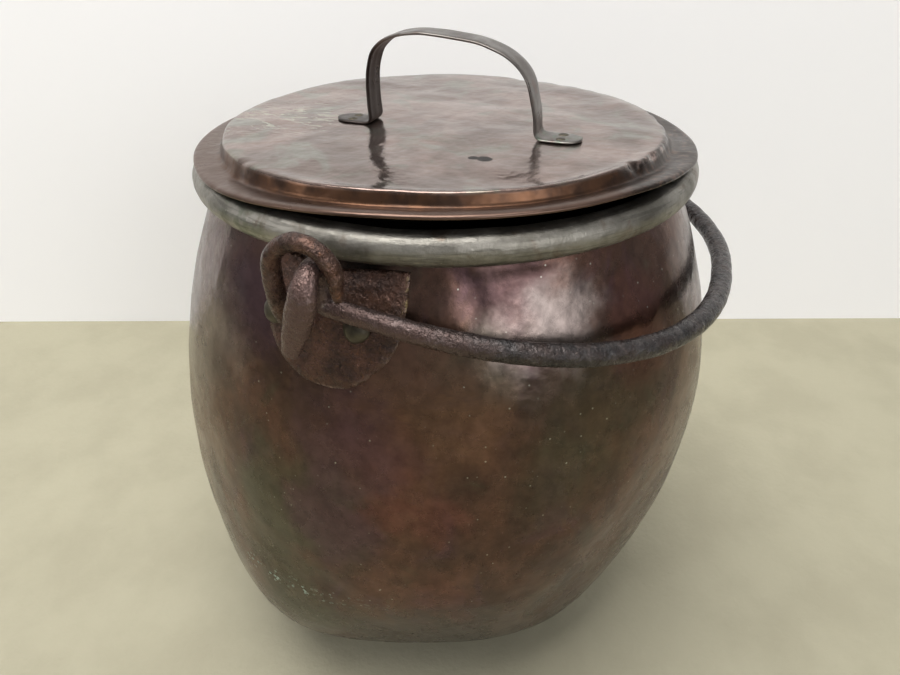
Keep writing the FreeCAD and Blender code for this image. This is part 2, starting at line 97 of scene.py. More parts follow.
# Lugs and bail.
PIVOT_HEIGHT = 375.0
RIGHT_LUG_DROP = 15.0
EYE_DISTANCE = 190.5
PLATE_SHIFT = 2.0
PLATE_HALF_WIDTH = 40.0
PLATE_THICKNESS = 3.0
PLATE_TOP_HEIGHT = 366.0
PLATE_SHOULDER_HEIGHT = 338.0
PLATE_BOTTOM_HEIGHT = 303.0
LUG_RIVET_PLACES = (-14.0, 35.0)
LUG_RIVET_HEIGHT = 336.0
LUG_VOXEL = 0.9  # grain of the mesh that merges the plate and the eye
EYE_SECTION = (1.04, 0.95)  # the eye's bar as shares of its radius, along the pivot and across it
BAIL_FOLD_ANGLE = 8.9
BAIL_HALF_SPAN = 178.5
BAIL_REACH = 195.8
BAIL_DROP = 20.0
BAIL_RADIUS = 6.4
BAIL_END_RADIUS = 5.2
HOOK_OUT = 24.0
HOOK_RISE = 5.3
HOOK_REACH = 3.4
HOOK_LEAN = 3.4  # how far the outer leg's top leans towards the bow
HOOK_TIP_DROP = 38.0
HOOK_CORNER = 8.0
HOOK_SHARE = 0.075  # share of the bar's length, at each end, that is flattened
BOW_START_ANGLE = 85.0
BOW_SIDE_POWER = 0.90  # below 1, these square off the bow's ellipse at the sides and in front
BOW_FRONT_POWER = 0.76

# Lid.
LID_SHEET = 1.5
LID_FLANGE_TOP = 389.05
LID_FLANGE_RADIUS = 162.3
LID_LIP_LOW = 386.65
LID_TOP_HEIGHT = 398.65
LID_TOP_RADIUS = 144.0
LID_FRONT_TURN = 202.0  # the flange is bent up on this side
LID_FRONT_RAISE = 8.5
LID_PUNCTURES = ((-70.0, -42.8, 3.6), (-69.6, -49.2, 5.2))  # X, Y and radius of two dark marks
LID_CRIMP_TURN = 299.0  # middle of the edge that has been beaten back
LID_NOTCH_TURN = 246.0  # a sharp notch in the edge's front end
LID_DIMPLE = (145.0, 148.0, 4.0)  # radius, turn and half width of a dent in the edge

# Strap handle, in its own frame: the arch runs along X from the lid's top.
STRAP_TURN = -90.0
STRAP_SHIFT = (-19.8, -13.2)
STRAP_FOOT_END = 81.5
STRAP_HALF_WIDTH = 10.0
STRAP_THICKNESS = 2.0
STRAP_RIVET_OUT = 69.5
STRAP_RIVET_HALF_GAP = 4.5

# Camera and set.
CAMERA_PLACE = Vector((-428.0, -160.0, 519.7))
CAMERA_TURN = 20.2  # level direction of view, degrees from +X
CAMERA_PITCH = 32.7
CAMERA_ROLL = 0.22
CAMERA_LENS = 27.04
WALL_DISTANCE = 401.0  # from the pot's axis to the wall behind it
WALL_HALF_WIDTH = 1150.0
ROOM_LIGHT = 0.32
GLOW_LIGHT = 2.5
GLOW_TURN = 237.0  # direction of the room's bright patch
GLOW_RISE = 0.36  # height of the patch's middle at a level distance of 1
GLOW_EDGE = (0.91, 0.995)  # cosines of the angles from the patch's middle where it starts and is full
FLOOR_HALF_WIDTH = 3000.0
WALL_HALF_HEIGHT = 1200.0


def polar(radius, turn, height):
    """Point from a radius and a turn in degrees about Z."""
    angle = math.radians(turn)
    return Vector((radius * math.cos(angle), radius * math.sin(angle), height))


def smoothstep(low, high, value):
    """0 at low and 1 at high, with a smooth change between; low may be above high."""
    share = min(1.0, max(0.0, (value - low) / (high - low)))
    return share * share * (3 - 2 * share)


def hill(distance, half_width):
    """1 at no distance, falling smoothly to 0 at twice the half width."""
    return smoothstep(2 * half_width, 0, distance)


def turn_gap(first, second):
    """Smallest angle between two turns, in degrees."""
    return abs((first - second + 180) % 360 - 180)


def waves(place, size, seed=0):
    """Smooth random height between -1 and 1 that changes over about the given size."""
    return noise.noise(place / size + Vector((seed * 7.3, seed * 3.1, -seed * 5.7)))


def hammered(place, size, seed=0):
    """Shallow round blows that meet in soft ridges: 0 in the middle of a blow, about 1 on a ridge."""
    shifted = place / size + Vector((seed * 4.1, -seed * 2.3, seed * 6.9))
    distances = noise.voronoi(shifted)[0]
    return min(1.0, distances[0] ** 2 * 1.6)


# Mesh building.


def stand_in(piece, node, body):
    """Let a piece move with a body and stand for a CAD node of that body."""
    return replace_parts(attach(piece, body), node)


def pole(ring):
    """Ring of one point, in the middle of the given ring, which closes an open end."""
    return [sum(ring, Vector()) / len(ring)]


def tangent_at(stations, number):
    """Direction of a line of stations at one of them."""
    ahead = stations[min(number + 1, len(stations) - 1)].xyz
    behind = stations[max(number - 1, 0)].xyz
    return (ahead - behind).normalized()


def skin(name, rings, material, loop=False, inner_material=None, inner_start=None):
    """Closed mesh through rings of points. A ring of one point is a pole, and a loop joins last to first."""
    points, starts = [], []
    for ring in rings:
        starts.append(len(points))
        points.extend(ring)
    pairs = [(number, number + 1) for number in range(len(rings) - 1)]
    if loop:
        pairs.append((len(rings) - 1, 0))
    faces, paints = [], []
    for first, second in pairs:
        low, high = rings[first], rings[second]
        count = max(len(low), len(high))
        paint = 1 if inner_start is not None and first >= inner_start else 0
        for column in range(count):
            following = (column + 1) % count
            corners = (
                starts[first] + column % len(low),
                starts[first] + following % len(low),
                starts[second] + following % len(high),
                starts[second] + column % len(high),
            )
            faces.append(tuple(dict.fromkeys(corners)))
            paints.append(paint)
    mesh = bpy.data.meshes.new(name)
    mesh.from_pydata([point * MM for point in points], [], faces)
    mesh.polygons.foreach_set("material_index", paints)
    piece = finished(name, mesh, material)
    if inner_material is not None:
        piece.data.materials.append(inner_material)
    return piece


def finished(name, mesh, material):
    """Link a mesh as a smooth-shaded piece with its faces turned outwards."""
    shape = bmesh.new()
    shape.from_mesh(mesh)
    bmesh.ops.recalc_face_normals(shape, faces=shape.faces)
    shape.to_mesh(mesh)
    shape.free()
    mesh.shade_smooth()
    piece = bpy.data.objects.new(name, mesh)
    bpy.context.scene.collection.objects.link(piece)
    mesh.materials.append(material)
    return piece


def joined(name, pieces, material):
    """One mesh from several."""
    shape = bmesh.new()
    for piece in pieces:
        shape.from_mesh(piece.data)
        bpy.data.objects.remove(piece)
    mesh = bpy.data.meshes.new(name)
    shape.to_mesh(mesh)
    shape.free()
    return finished(name, mesh, material)


def remeshed(piece, voxel, smoothing):
    """Merge overlapping closed bodies into one skin and soften it."""
    remesh = piece.modifiers.new("merge", "REMESH")
    remesh.mode = "VOXEL"
    remesh.voxel_size = voxel * MM
    soften = piece.modifiers.new("soften", "SMOOTH")
    soften.iterations = smoothing
    graph = bpy.context.evaluated_depsgraph_get()
    mesh = bpy.data.meshes.new_from_object(piece.evaluated_get(graph))
    piece.modifiers.clear()
    material = piece.data.materials[0]
    piece.data = mesh
    piece.data.materials.clear()
    piece.data.materials.append(material)
    piece.data.shade_smooth()
    return piece


def roughened(piece, height):
    """Push each vertex along its normal by the height function, in millimetres."""
    mesh = piece.data
    moved = []
    for vertex in mesh.vertices:
        place = vertex.co / MM
        moved.append(vertex.co + vertex.normal * (height(place) * MM))
    for vertex, place in zip(mesh.vertices, moved):
        vertex.co = place
    mesh.update()
    return piece


def smooth_line(stations, gap):
    """Closer stations on a smooth curve through the given ones; a station is (x, y, z, radius)."""
    first = 2 * stations[0] - stations[1]
    last = 2 * stations[-1] - stations[-2]
    chain = [first] + stations + [last]
    result = []
    for before, start, stop, after in zip(chain, chain[1:], chain[2:], chain[3:]):
        steps = max(1, round((stop.xyz - start.xyz).length / gap))
        for step in range(steps):
            share = step / steps
            linear = (stop - before) * share
            square = (2 * before - 5 * start + 4 * stop - after) * share**2
            cube = (3 * start - before - 3 * stop + after) * share**3
            result.append((2 * start + linear + square + cube) / 2)
    return result + [stations[-1]]


def bar(name, stations, side, material, section=None, around=36):
    """Bar along stations with rounded ends; section gives the shares of radius at a length share."""
    count = len(stations)
    rings = []
    for number, station in enumerate(stations):
        tangent = tangent_at(stations, number)
        side = (side - tangent * side.dot(tangent)).normalized()
        across = tangent.cross(side)
        wide, thick = section(number / (count - 1)) if section else (1, 1)
        if number in (0, count - 1):
            outwards = tangent if number else -tangent
            cap = rounded_cap(station, outwards, side, across, wide, thick, around)
            rings.extend(reversed(cap) if number == 0 else cap)
        else:
            rings.append(ellipse(station.xyz, side * wide, across * thick, station.w, around))
    return skin(name, rings, material)


def ellipse(centre, side, across, radius, around):
    """Ring of points round a centre, in the plane of side and across."""
    angles = [2 * math.pi * number / around for number in range(around)]
    return [centre + radius * (side * math.cos(a) + across * math.sin(a)) for a in angles]


def rounded_cap(station, outwards, side, across, wide, thick, around):
    """Rings from the last full section out to a pole on the end of a bar."""
    rings = []
    for angle in (0, 25, 50, 70):
        lean = math.radians(angle)
        centre = station.xyz + outwards * (station.w * 0.7 * math.sin(lean))
        rings.append(ellipse(centre, side * wide, across * thick, station.w * math.cos(lean), around))
    rings.append([station.xyz + outwards * station.w * 0.72])
    return rings


# Materials.


def fade_node(nodes, start, stop, low, high):
    """Node that changes smoothly from low to high as its value goes from start to stop."""
    node = nodes.new("ShaderNodeMapRange")
    node.interpolation_type = "SMOOTHSTEP"
    limits = {"From Min": start, "From Max": stop, "To Min": low, "To Max": high}
    for name, number in limits.items():
        node.inputs[name].default_value = number
    return node


class Finish:
    """A material on one Principled surface, with short calls for the nodes its pattern needs."""

    def __init__(self, name):
        self.material = bpy.data.materials.new(name)
        self.material.use_nodes = True
        tree = self.material.node_tree
        self.nodes, self.links = tree.nodes, tree.links
        self.surface = self.nodes["Principled BSDF"]
        self.place = self.nodes.new("ShaderNodeTexCoord").outputs["Object"]

    def put(self, socket, value):
        if isinstance(value, bpy.types.NodeSocket):
            self.links.new(value, socket)
        elif isinstance(value, tuple) and len(value) == 3 and socket.type == "RGBA":
            socket.default_value = (*value, 1)
        else:
            socket.default_value = value

    def set(self, **inputs):
        for name, value in inputs.items():
            self.put(self.surface.inputs[name.replace("_", " ")], value)

    def noise(self, size, detail=5.0, rough=0.55, twist=0.0, stretch=None, place=None):
        """Cloudy pattern from 0 to 1 whose patches are about the given size in millimetres."""
        node = self.nodes.new("ShaderNodeTexNoise")
        node.inputs["Scale"].default_value = 1 / (size * MM)
        node.inputs["Detail"].default_value = detail
        node.inputs["Roughness"].default_value = rough
        node.inputs["Distortion"].default_value = twist
        place = place or self.place
        if stretch:
            place = self.vector("MULTIPLY", place, stretch)
        self.put(node.inputs["Vector"], place)
        return node.outputs[0]

    def clouds(self, size, first, second, detail=6.0, rough=0.55):
        """Two colours mixed in clouds of the given size."""
        return self.mix(self.fade(self.noise(size, detail, rough), 0.35, 0.68), first, second)

    def uneven(self, low, high, size, detail=5.0, rough=0.55):
        """Value that wanders from low to high in patches of the given size."""
        return self.fade(self.noise(size, detail, rough), 0.3, 0.7, low, high)

    def cells(self, size):
        """Distance to the nearest of many scattered points, about the given size apart."""
        node = self.nodes.new("ShaderNodeTexVoronoi")
        node.inputs["Scale"].default_value = 1 / (size * MM)
        self.put(node.inputs["Vector"], self.place)
        return node.outputs["Distance"]

    def vector(self, operation, first, second):
        node = self.nodes.new("ShaderNodeVectorMath")
        node.operation = operation
        self.put(node.inputs[0], first)
        self.put(node.inputs[1], second)
        return node.outputs["Value" if operation in ("DISTANCE", "LENGTH", "DOT_PRODUCT") else 0]

    def math(self, operation, first, second=0.5):
        node = self.nodes.new("ShaderNodeMath")
        node.operation = operation
        self.put(node.inputs[0], first)
        self.put(node.inputs[1], second)
        return node.outputs[0]

    def times(self, first, *others):
        """Product of the values."""
        for value in others:
            first = self.math("MULTIPLY", first, value)
        return first

    def fade(self, value, start, stop, low=0.0, high=1.0):
        """Smooth change from low to high as the value goes from start to stop."""
        node = fade_node(self.nodes, start, stop, low, high)
        self.put(node.inputs["Value"], value)
        return node.outputs["Result"]

    def mix(self, factor, first, second, kind="MIX"):
        node = self.nodes.new("ShaderNodeMix")
        node.data_type = "RGBA"
        node.blend_type = kind
        self.put(node.inputs[0], factor)
        self.put(node.inputs[6], first)
        self.put(node.inputs[7], second)
        return node.outputs[2]

    def spot(self, centre, radius, ragged=0.35, full=0.25):
        """Mask of a ragged patch: 1 out to the full share of the radius, and 0 outside the radius."""
        distance = self.vector("DISTANCE", self.place, tuple(centre * MM))
        wander = self.math("MULTIPLY", self.math("SUBTRACT", self.noise(radius * 0.6), 0.5), ragged * 4)
        share = self.math("ADD", self.math("DIVIDE", distance, radius * MM), wander)
        return self.fade(share, 1.0, full)

    def axis(self, name):
        """One coordinate of the place in metres: X, Y, or Z, which is the height above the floor."""
        node = self.nodes.new("ShaderNodeSeparateXYZ")
        self.put(node.inputs[0], self.place)
        return node.outputs[name]

    def from_middle(self):
        """Distance from the Z axis, in metres."""
        level = self.vector("MULTIPLY", self.place, (1.0, 1.0, 0.0))
        return self.vector("LENGTH", level, level)

    def streaks(self, length, width):
        """Streaky pattern that runs round the Z axis, with streaks of a length and width in millimetres."""
        turn = self.math("ARCTAN2", self.times(self.axis("Y"), -1.0), self.times(self.axis("X"), -1.0))
        run = self.times(turn, RIM_RING_RADIUS * width / length * MM)
        unrolled = self.nodes.new("ShaderNodeCombineXYZ")
        for socket, value in zip(unrolled.inputs, (run, self.from_middle(), self.axis("Z"))):
            self.put(socket, value)
        return self.noise(width, 4.0, 0.6, place=unrolled.outputs[0])

    def edges(self, start, stop):
        """1 on sharp raised edges and 0 in hollows."""
        return self.fade(self.nodes.new("ShaderNodeNewGeometry").outputs["Pointiness"], start, stop)

    def bump(self, *layers):
        """Bump from layers of (pattern, depth in millimetres)."""
        normal = None
        for pattern, depth in layers:
            node = self.nodes.new("ShaderNodeBump")
            node.inputs["Distance"].default_value = depth * MM
            self.put(node.inputs["Height"], pattern)
            if normal:
                self.put(node.inputs["Normal"], normal)
            normal = node.outputs["Normal"]
        self.put(self.surface.inputs["Normal"], normal)


DARK_BROWN = (0.105, 0.066, 0.052)
RED_BROWN = (0.175, 0.096, 0.070)
PURPLE = (0.130, 0.076, 0.088)
OLIVE = (0.104, 0.104, 0.070)
ORANGE = (0.235, 0.135, 0.088)
RED = (0.20, 0.084, 0.070)
VERDIGRIS = (0.40, 0.52, 0.45)
CHALK = (0.55, 0.55, 0.48)
NEAR_BLACK = (0.022, 0.019, 0.017)
# pale colour painted on the body as reflections of the bright wall and as a highlight
PAINTED_REFLECTION = (0.32, 0.27, 0.25)

BODY_STAINS_AND_PAINTED_LIGHT = (  # turn about Z, height, radius, colour and strength; mostly stains, with painted shade and painted reflections among them
    (171, 212, 62, OLIVE, 0.8),
    (170, 110, 52, OLIVE, 0.75),
    (180, 247, 34, OLIVE, 0.45),
    (228, 278, 58, OLIVE, 0.5),
    (220, 245, 42, OLIVE, 0.4),
    (206, 318, 34, OLIVE, 0.6),
    (198, 303, 46, ORANGE, 0.6),
    (205, 286, 36, ORANGE, 0.55),
    (199, 229, 26, RED, 0.5),
    (199, 157, 30, RED, 0.35),
    (189, 267, 34, RED, 0.5),
    (184, 270, 44, PURPLE, 0.7),
    (180, 215, 44, PURPLE, 0.75),
    (190, 232, 20, RED, 0.5),
    (203, 128, 16, RED, 0.5),
    (166, 165, 42, OLIVE, 0.7),
    (157, 331, 48, PURPLE, 0.8),
    (214, 352, 44, PURPLE, 0.5),
    (240, 320, 44, RED, 0.45),
    (146, 240, 50, ORANGE, 0.5),
    (60, 300, 60, OLIVE, 0.7),
    (30, 220, 60, RED, 0.5),
    (330, 180, 62, OLIVE, 0.7),
    (300, 260, 58, PURPLE, 0.7),
    # partly dark crud and partly painted shade under the rim, between the left lug's plate and the rim
    (174, 369, 26, NEAR_BLACK, 1.0),
    (184, 369, 22, NEAR_BLACK, 1.0),
    # painted reflection of the bright wall along the left side edge
    (140, 305, 66, PAINTED_REFLECTION, 0.7),
    (128, 205, 62, ORANGE, 0.9),
    # painted reflections of the bright wall along the right side edge
    (268, 250, 66, PAINTED_REFLECTION, 0.7),
    (264, 330, 40, PAINTED_REFLECTION, 0.5),
    # painted highlight on the hammered facets right of the front
    (222, 335, 34, PAINTED_REFLECTION, 0.8),
    (214, 330, 30, PAINTED_REFLECTION, 0.4),
    (100, 200, 60, ORANGE, 0.5),
    (80, 120, 55, PURPLE, 0.6),
)


def copper_body():
    """Old brown copper with olive, red and purple stains, pale specks and a corroded seam, with painted
    reflections at the side edges, a painted highlight on the facets and dark crud with painted shade under
    the rim.
    """
    copper = Finish("body_copper")
    runs = (1.0, 1.0, 0.6)  # patches are taller than wide
    cloud = copper.noise(45, detail=7, rough=0.62, stretch=runs)
    colour = copper.mix(copper.fade(cloud, 0.38, 0.62), DARK_BROWN, RED_BROWN)
    bluish = copper.fade(copper.noise(38, rough=0.62, twist=0.8, stretch=runs), 0.52, 0.72, high=0.7)
    colour = copper.mix(bluish, colour, PURPLE)
    mossy = copper.fade(copper.noise(30, rough=0.62, twist=1.2, stretch=runs), 0.56, 0.78, high=0.6)
    colour = copper.mix(mossy, colour, OLIVE)
    for turn, height, radius, stain_and_painted_light, strength in BODY_STAINS_AND_PAINTED_LIGHT:
        mask = copper.spot(polar(wall_radius(height), turn, height), radius)
        colour = copper.mix(copper.times(mask, strength), colour, stain_and_painted_light)
    mottle = copper.uneven(0.0, 0.35, 9, detail=6, rough=0.7)
    colour = copper.mix(mottle, colour, NEAR_BLACK, "MULTIPLY")
    # darker towards the bottom
    darker_towards_floor = copper.fade(copper.axis("Z"), 0.11, 0.0)
    colour = copper.mix(copper.times(darker_towards_floor, 0.8), colour, NEAR_BLACK)
    below_seam = copper.fade(copper.axis("Z"), (SEAM_HEIGHT + 4) * MM, (SEAM_HEIGHT - 4) * MM)
    colour = copper.mix(copper.times(below_seam, 0.12), colour, OLIVE)
    crust = seam_crust(copper)
    colour = copper.mix(crust, colour, VERDIGRIS)
    speck = copper.fade(copper.cells(6.5), 0.10, 0.06)
    thinned = copper.times(speck, copper.fade(copper.noise(30), 0.46, 0.60, high=0.7))
    colour = copper.mix(thinned, colour, CHALK)
    rough = copper.uneven(0.18, 0.34, 28, detail=7, rough=0.7)
    rough = copper.math("ADD", rough, copper.times(crust, 0.4))
    metal = copper.math("SUBTRACT", 0.93, crust)
    copper.set(Base_Color=colour, Roughness=rough, Metallic=metal)
    copper.bump(
        (copper.noise(16, detail=2), 0.5),
        (copper.noise(2.2, detail=4), 0.05),
        (copper.times(crust, copper.noise(1.5)), 0.3),
    )
    return copper.material


def seam_crust(copper):
    """Mask of the grains of verdigris along the seam, thickest on one side of the pot."""
    off_seam = copper.math("SUBTRACT", copper.axis("Z"), (SEAM_HEIGHT - 1.5) * MM)
    band = copper.fade(copper.math("ABSOLUTE", off_seam), 0.010, 0.002)
    grains = copper.fade(copper.cells(3.2), 0.40, 0.28)
    broken = copper.fade(copper.noise(11, detail=3), 0.42, 0.56)
    thick_side = copper.spot(polar(190, 167, SEAM_HEIGHT), 88)
    elsewhere = copper.fade(copper.noise(50), 0.5, 0.7, high=0.25)
    share = copper.math("MAXIMUM", thick_side, elsewhere)
    return copper.times(band, grains, broken, share, 0.85)


def tinned_inside():
    """Dull tin lining with darker worn clouds."""
    tin = Finish("tin_lining")
    colour = tin.clouds(60, (0.32, 0.30, 0.27), (0.14, 0.12, 0.10))
    worn = tin.fade(tin.noise(25, twist=1.0), 0.62, 0.72, high=0.7)
    colour = tin.mix(worn, colour, (0.30, 0.15, 0.09))
    tin.set(Base_Color=colour, Metallic=0.85, Roughness=tin.uneven(0.35, 0.6, 20))
    tin.bump((tin.noise(14, detail=2), 0.35), (tin.noise(1.5), 0.03))
    return tin.material


def rim_metal():
    """Grey-green tinned rim, with brown rubbed spots and verdigris on one side."""
    rim = Finish("rim_metal")
    colour = rim.clouds(30, (0.37, 0.355, 0.318), (0.19, 0.18, 0.153), rough=0.65)
    brown = rim.fade(rim.noise(17, twist=0.8), 0.55, 0.72, high=0.6)
    colour = rim.mix(brown, colour, (0.15, 0.09, 0.055))
    green = rim.times(rim.spot(polar(163, 160, 374), 30), rim.fade(rim.noise(7), 0.42, 0.6), 0.4)
    colour = rim.mix(green, colour, (0.10, 0.14, 0.075))
    speck = rim.times(rim.fade(rim.cells(5.0), 0.11, 0.06), rim.fade(rim.noise(22), 0.5, 0.6, high=0.6))
    colour = rim.mix(speck, colour, CHALK)
    drawn = rim.streaks(26, 2.6)
    colour = rim.mix(rim.fade(drawn, 0.5, 0.66, high=0.4), colour, (0.055, 0.052, 0.042))
    rough = rim.uneven(0.34, 0.52, 9, detail=6, rough=0.7)
    rim.set(Base_Color=colour, Metallic=0.95, Roughness=rough)
    rim.bump((rim.noise(8, detail=3), 0.5), (drawn, 0.2), (rim.noise(2.2, detail=3, rough=0.7), 0.2))
    return rim.material


def lid_copper():
    """Polished pinkish lid copper with brown edges, pale scratches, two dark punctures and painted shade
    along the crimped edge.
    """
    lid = Finish("lid_copper")
    cloud = lid.fade(lid.noise(60, detail=6, twist=0.6), 0.36, 0.66)
    colour = lid.mix(cloud, (0.38, 0.29, 0.26), (0.205, 0.16, 0.142))
    green = lid.fade(lid.noise(34, detail=5, twist=1.2), 0.52, 0.66, high=0.75)
    colour = lid.mix(green, colour, (0.27, 0.275, 0.235))
    out = lid.from_middle()
    edge = LID_TOP_RADIUS * MM
    low = lid.fade(out, edge - 0.0015, edge)
    step = lid.mix(lid.fade(lid.noise(14), 0.4, 0.65), (0.13, 0.066, 0.038), (0.065, 0.038, 0.027))
    step = lid.mix(lid.fade(out, edge + 0.0025, edge + 0.005), step, (0.15, 0.098, 0.076))
    colour = lid.mix(low, colour, step)
    # painted shade in the folds of the crimped edge, on the side that was beaten back
    towards_crimp = lid.vector("DOT_PRODUCT", lid.place, tuple(polar(1, LID_CRIMP_TURN, 0)))
    beaten = lid.times(lid.fade(towards_crimp, 0.06, 0.085), lid.fade(out, edge - 0.0055, edge - 0.0025))
    crimp_painted_shade = lid.times(beaten, lid.fade(lid.noise(5, detail=4), 0.34, 0.5), 0.85)
    colour = lid.mix(crimp_painted_shade, colour, NEAR_BLACK)
    fine = lid.fade(lid.noise(6, detail=6, rough=0.7), 0.35, 0.7, high=0.3)
    colour = lid.mix(fine, colour, (0.10, 0.06, 0.045))
    holes = [lid.spot(Vector((x, y, LID_TOP_HEIGHT)), radius, 0.1, 0.75) for x, y, radius in LID_PUNCTURES]
    punctured = lid.math("MAXIMUM", *holes)
    colour = lid.mix(punctured, colour, NEAR_BLACK)
    scratches = lid.fade(lid.noise(9, detail=2, twist=3.0, stretch=(1.0, 0.22, 1.0)), 0.575, 0.60)
    scraped = lid.times(scratches, lid.spot(Vector((-32, 104, 398)), 62, 0.2))
    colour = lid.mix(lid.times(scraped, 0.8), colour, CHALK)
    rough = lid.uneven(0.12, 0.24, 35, detail=7, rough=0.7)
    for mask, extra in ((scraped, 0.3), (low, 0.14), (punctured, 0.5)):
        rough = lid.math("ADD", rough, lid.times(mask, extra))
    lid.set(Base_Color=colour, Metallic=lid.math("SUBTRACT", 0.95, punctured), Roughness=rough)
    lid.bump((lid.noise(26, detail=3), 1.2), (lid.noise(3.0, detail=3), 0.05))
    return lid.material


def forged_iron(name, rust, dark, bright, rusty):
    """Pitted forged iron: rust in the hollows, dark scale, and rubbed edges."""
    iron = Finish(name)
    colour = iron.clouds(14, dark, rust, detail=7, rough=0.7)
    orange = iron.fade(iron.noise(6, detail=6, rough=0.75), 0.56, 0.75, high=rusty)
    colour = iron.mix(orange, colour, (0.26, 0.115, 0.055))
    rubbed = iron.times(iron.edges(0.5, 0.58), iron.fade(iron.noise(8), 0.4, 0.65))
    colour = iron.mix(rubbed, colour, bright)
    pitted = iron.noise(2.6, detail=3, rough=0.7)
    colour = iron.mix(iron.fade(pitted, 0.42, 0.3, high=0.8), colour, (0.008, 0.007, 0.006))
    rough = iron.uneven(0.18, 0.36, 5, detail=6, rough=0.7)
    iron.set(Base_Color=colour, Metallic=0.7, Roughness=rough)
    iron.bump((iron.noise(5.5, detail=2), 1.1), (pitted, 1.1))
    return iron, colour


def lug_iron():
    """Rusty iron of the lugs, with yellow-green corrosion where the plate's edge meets the copper."""
    rust, dark, bright = (0.115, 0.060, 0.043), (0.047, 0.029, 0.024), (0.40, 0.30, 0.26)
    iron, colour = forged_iron("lug_iron", rust, dark, bright, 0.5)
    plate_edge = (PLATE_SHIFT - PLATE_HALF_WIDTH) * MM
    edge = iron.fade(iron.axis("Y"), plate_edge + 0.0025, plate_edge - 0.0005)
    upper = iron.fade(iron.axis("Z"), 0.325, 0.345)
    crust = iron.times(edge, upper, iron.fade(iron.noise(3), 0.45, 0.6), 0.8)
    iron.set(Base_Color=iron.mix(crust, colour, (0.34, 0.27, 0.13)))
    return iron.material


def bail_iron():
    """Black-grey bar, browner at the hooks."""
    rust, dark, bright = (0.060, 0.045, 0.041), (0.037, 0.035, 0.036), (0.42, 0.40, 0.40)
    iron, colour = forged_iron("bail_iron", rust, dark, bright, 0.12)
    hook = iron.fade(iron.math("ABSOLUTE", iron.axis("X")), 0.168, 0.190)
    iron.set(Base_Color=iron.mix(iron.times(hook, 0.6), colour, (0.17, 0.10, 0.085)))
    return iron.material


def strap_metal():
    """Grey rolled strap with lengthwise draw marks, dull brown patches, green feet and painted shade on the
    far leg.
    """
    strap = Finish("strap_metal")
    colour = strap.clouds(18, (0.22, 0.205, 0.19), (0.13, 0.115, 0.106))
    brown = strap.fade(strap.noise(9, twist=0.6), 0.55, 0.72, high=0.55)
    colour = strap.mix(brown, colour, (0.14, 0.085, 0.06))
    foot = strap.fade(strap.axis("Z"), (LID_TOP_HEIGHT + 6) * MM, (LID_TOP_HEIGHT + 1) * MM)
    green = strap.times(foot, strap.fade(strap.noise(4), 0.48, 0.66, high=0.5))
    colour = strap.mix(green, colour, (0.12, 0.19, 0.13))
    # painted shade: the far leg is darkened as though it stood in shadow
    far_leg_painted_shade = strap.times(strap.fade(strap.axis("Y"), 0.027, 0.041), 0.85)
    colour = strap.mix(far_leg_painted_shade, colour, (0.045, 0.034, 0.031))
    drawn = strap.noise(2.0, detail=3, stretch=(1.0, 0.06, 0.06))
    rough = strap.uneven(0.26, 0.42, 10, detail=6)
    strap.set(Base_Color=colour, Metallic=0.95, Roughness=rough)
    strap.bump((drawn, 0.12), (strap.noise(1.2), 0.03))
    return strap.material


def rivet_copper():
    """Dark olive hammered rivet heads."""
    rivet = Finish("rivet_copper")
    colour = rivet.clouds(4, (0.085, 0.076, 0.052), (0.045, 0.038, 0.030), detail=5)
    rubbed = rivet.times(rivet.edges(0.5, 0.6), 0.5)
    colour = rivet.mix(rubbed, colour, (0.20, 0.175, 0.13))
    rivet.set(Base_Color=colour, Metallic=0.8, Roughness=rivet.uneven(0.32, 0.5, 3))
    rivet.bump((rivet.noise(3.0, detail=3), 0.2), (rivet.noise(0.9), 0.05))
    return rivet.material


# Pot.


def wall_radius(height, offset=0.0):
    """Radius of the pot's round side; offset is outwards from the outer surface."""
    return WALL_ARC_X + math.sqrt((WALL_ARC_RADIUS + offset) ** 2 - (height - BELLY_HEIGHT) ** 2)


def wall_station(height):
    """Radius, height and outward direction (radial, upward) of the wall's outer surface."""
    if height > NECK_HEIGHT:
        return wall_radius(NECK_HEIGHT), height, 1.0, 0.0
    rise = (height - BELLY_HEIGHT) / WALL_ARC_RADIUS
    return wall_radius(height), height, math.sqrt(1 - rise**2), rise


def bowl_stations(flat_rows, corner_rows, side_rows):
    """Stations of the bowl's outer surface, from the middle of the underside up to the seam."""
    tangent_angle = math.atan2(BOTTOM_CORNER_RADIUS - BELLY_HEIGHT, CORNER_X - WALL_ARC_X)
    tangent_height = BOTTOM_CORNER_RADIUS * (1 + math.sin(tangent_angle))
    stations = [(CORNER_X * row / flat_rows, 0.0, 0.0, -1.0) for row in range(flat_rows)]
    for row in range(corner_rows):
        angle = -math.pi / 2 + (tangent_angle + math.pi / 2) * row / corner_rows
        out, rise = math.cos(angle), math.sin(angle)
        radius = CORNER_X + BOTTOM_CORNER_RADIUS * out
        stations.append((radius, BOTTOM_CORNER_RADIUS * (1 + rise), out, rise))
    for row in range(side_rows):
        stations.append(wall_station(tangent_height + (SEAM_HEIGHT - tangent_height) * row / side_rows))
    return stations + [wall_station(SEAM_HEIGHT - SEAM_CRISP), wall_station(SEAM_HEIGHT)]


def near_lug(turn, height):
    """1 beside a lug's plate, where the sheet keeps its true shape, and 0 away from it."""
    side = min(turn_gap(turn, 180), turn_gap(turn, 0))
    return smoothstep(26, 17, side) * smoothstep(270, 295, height)


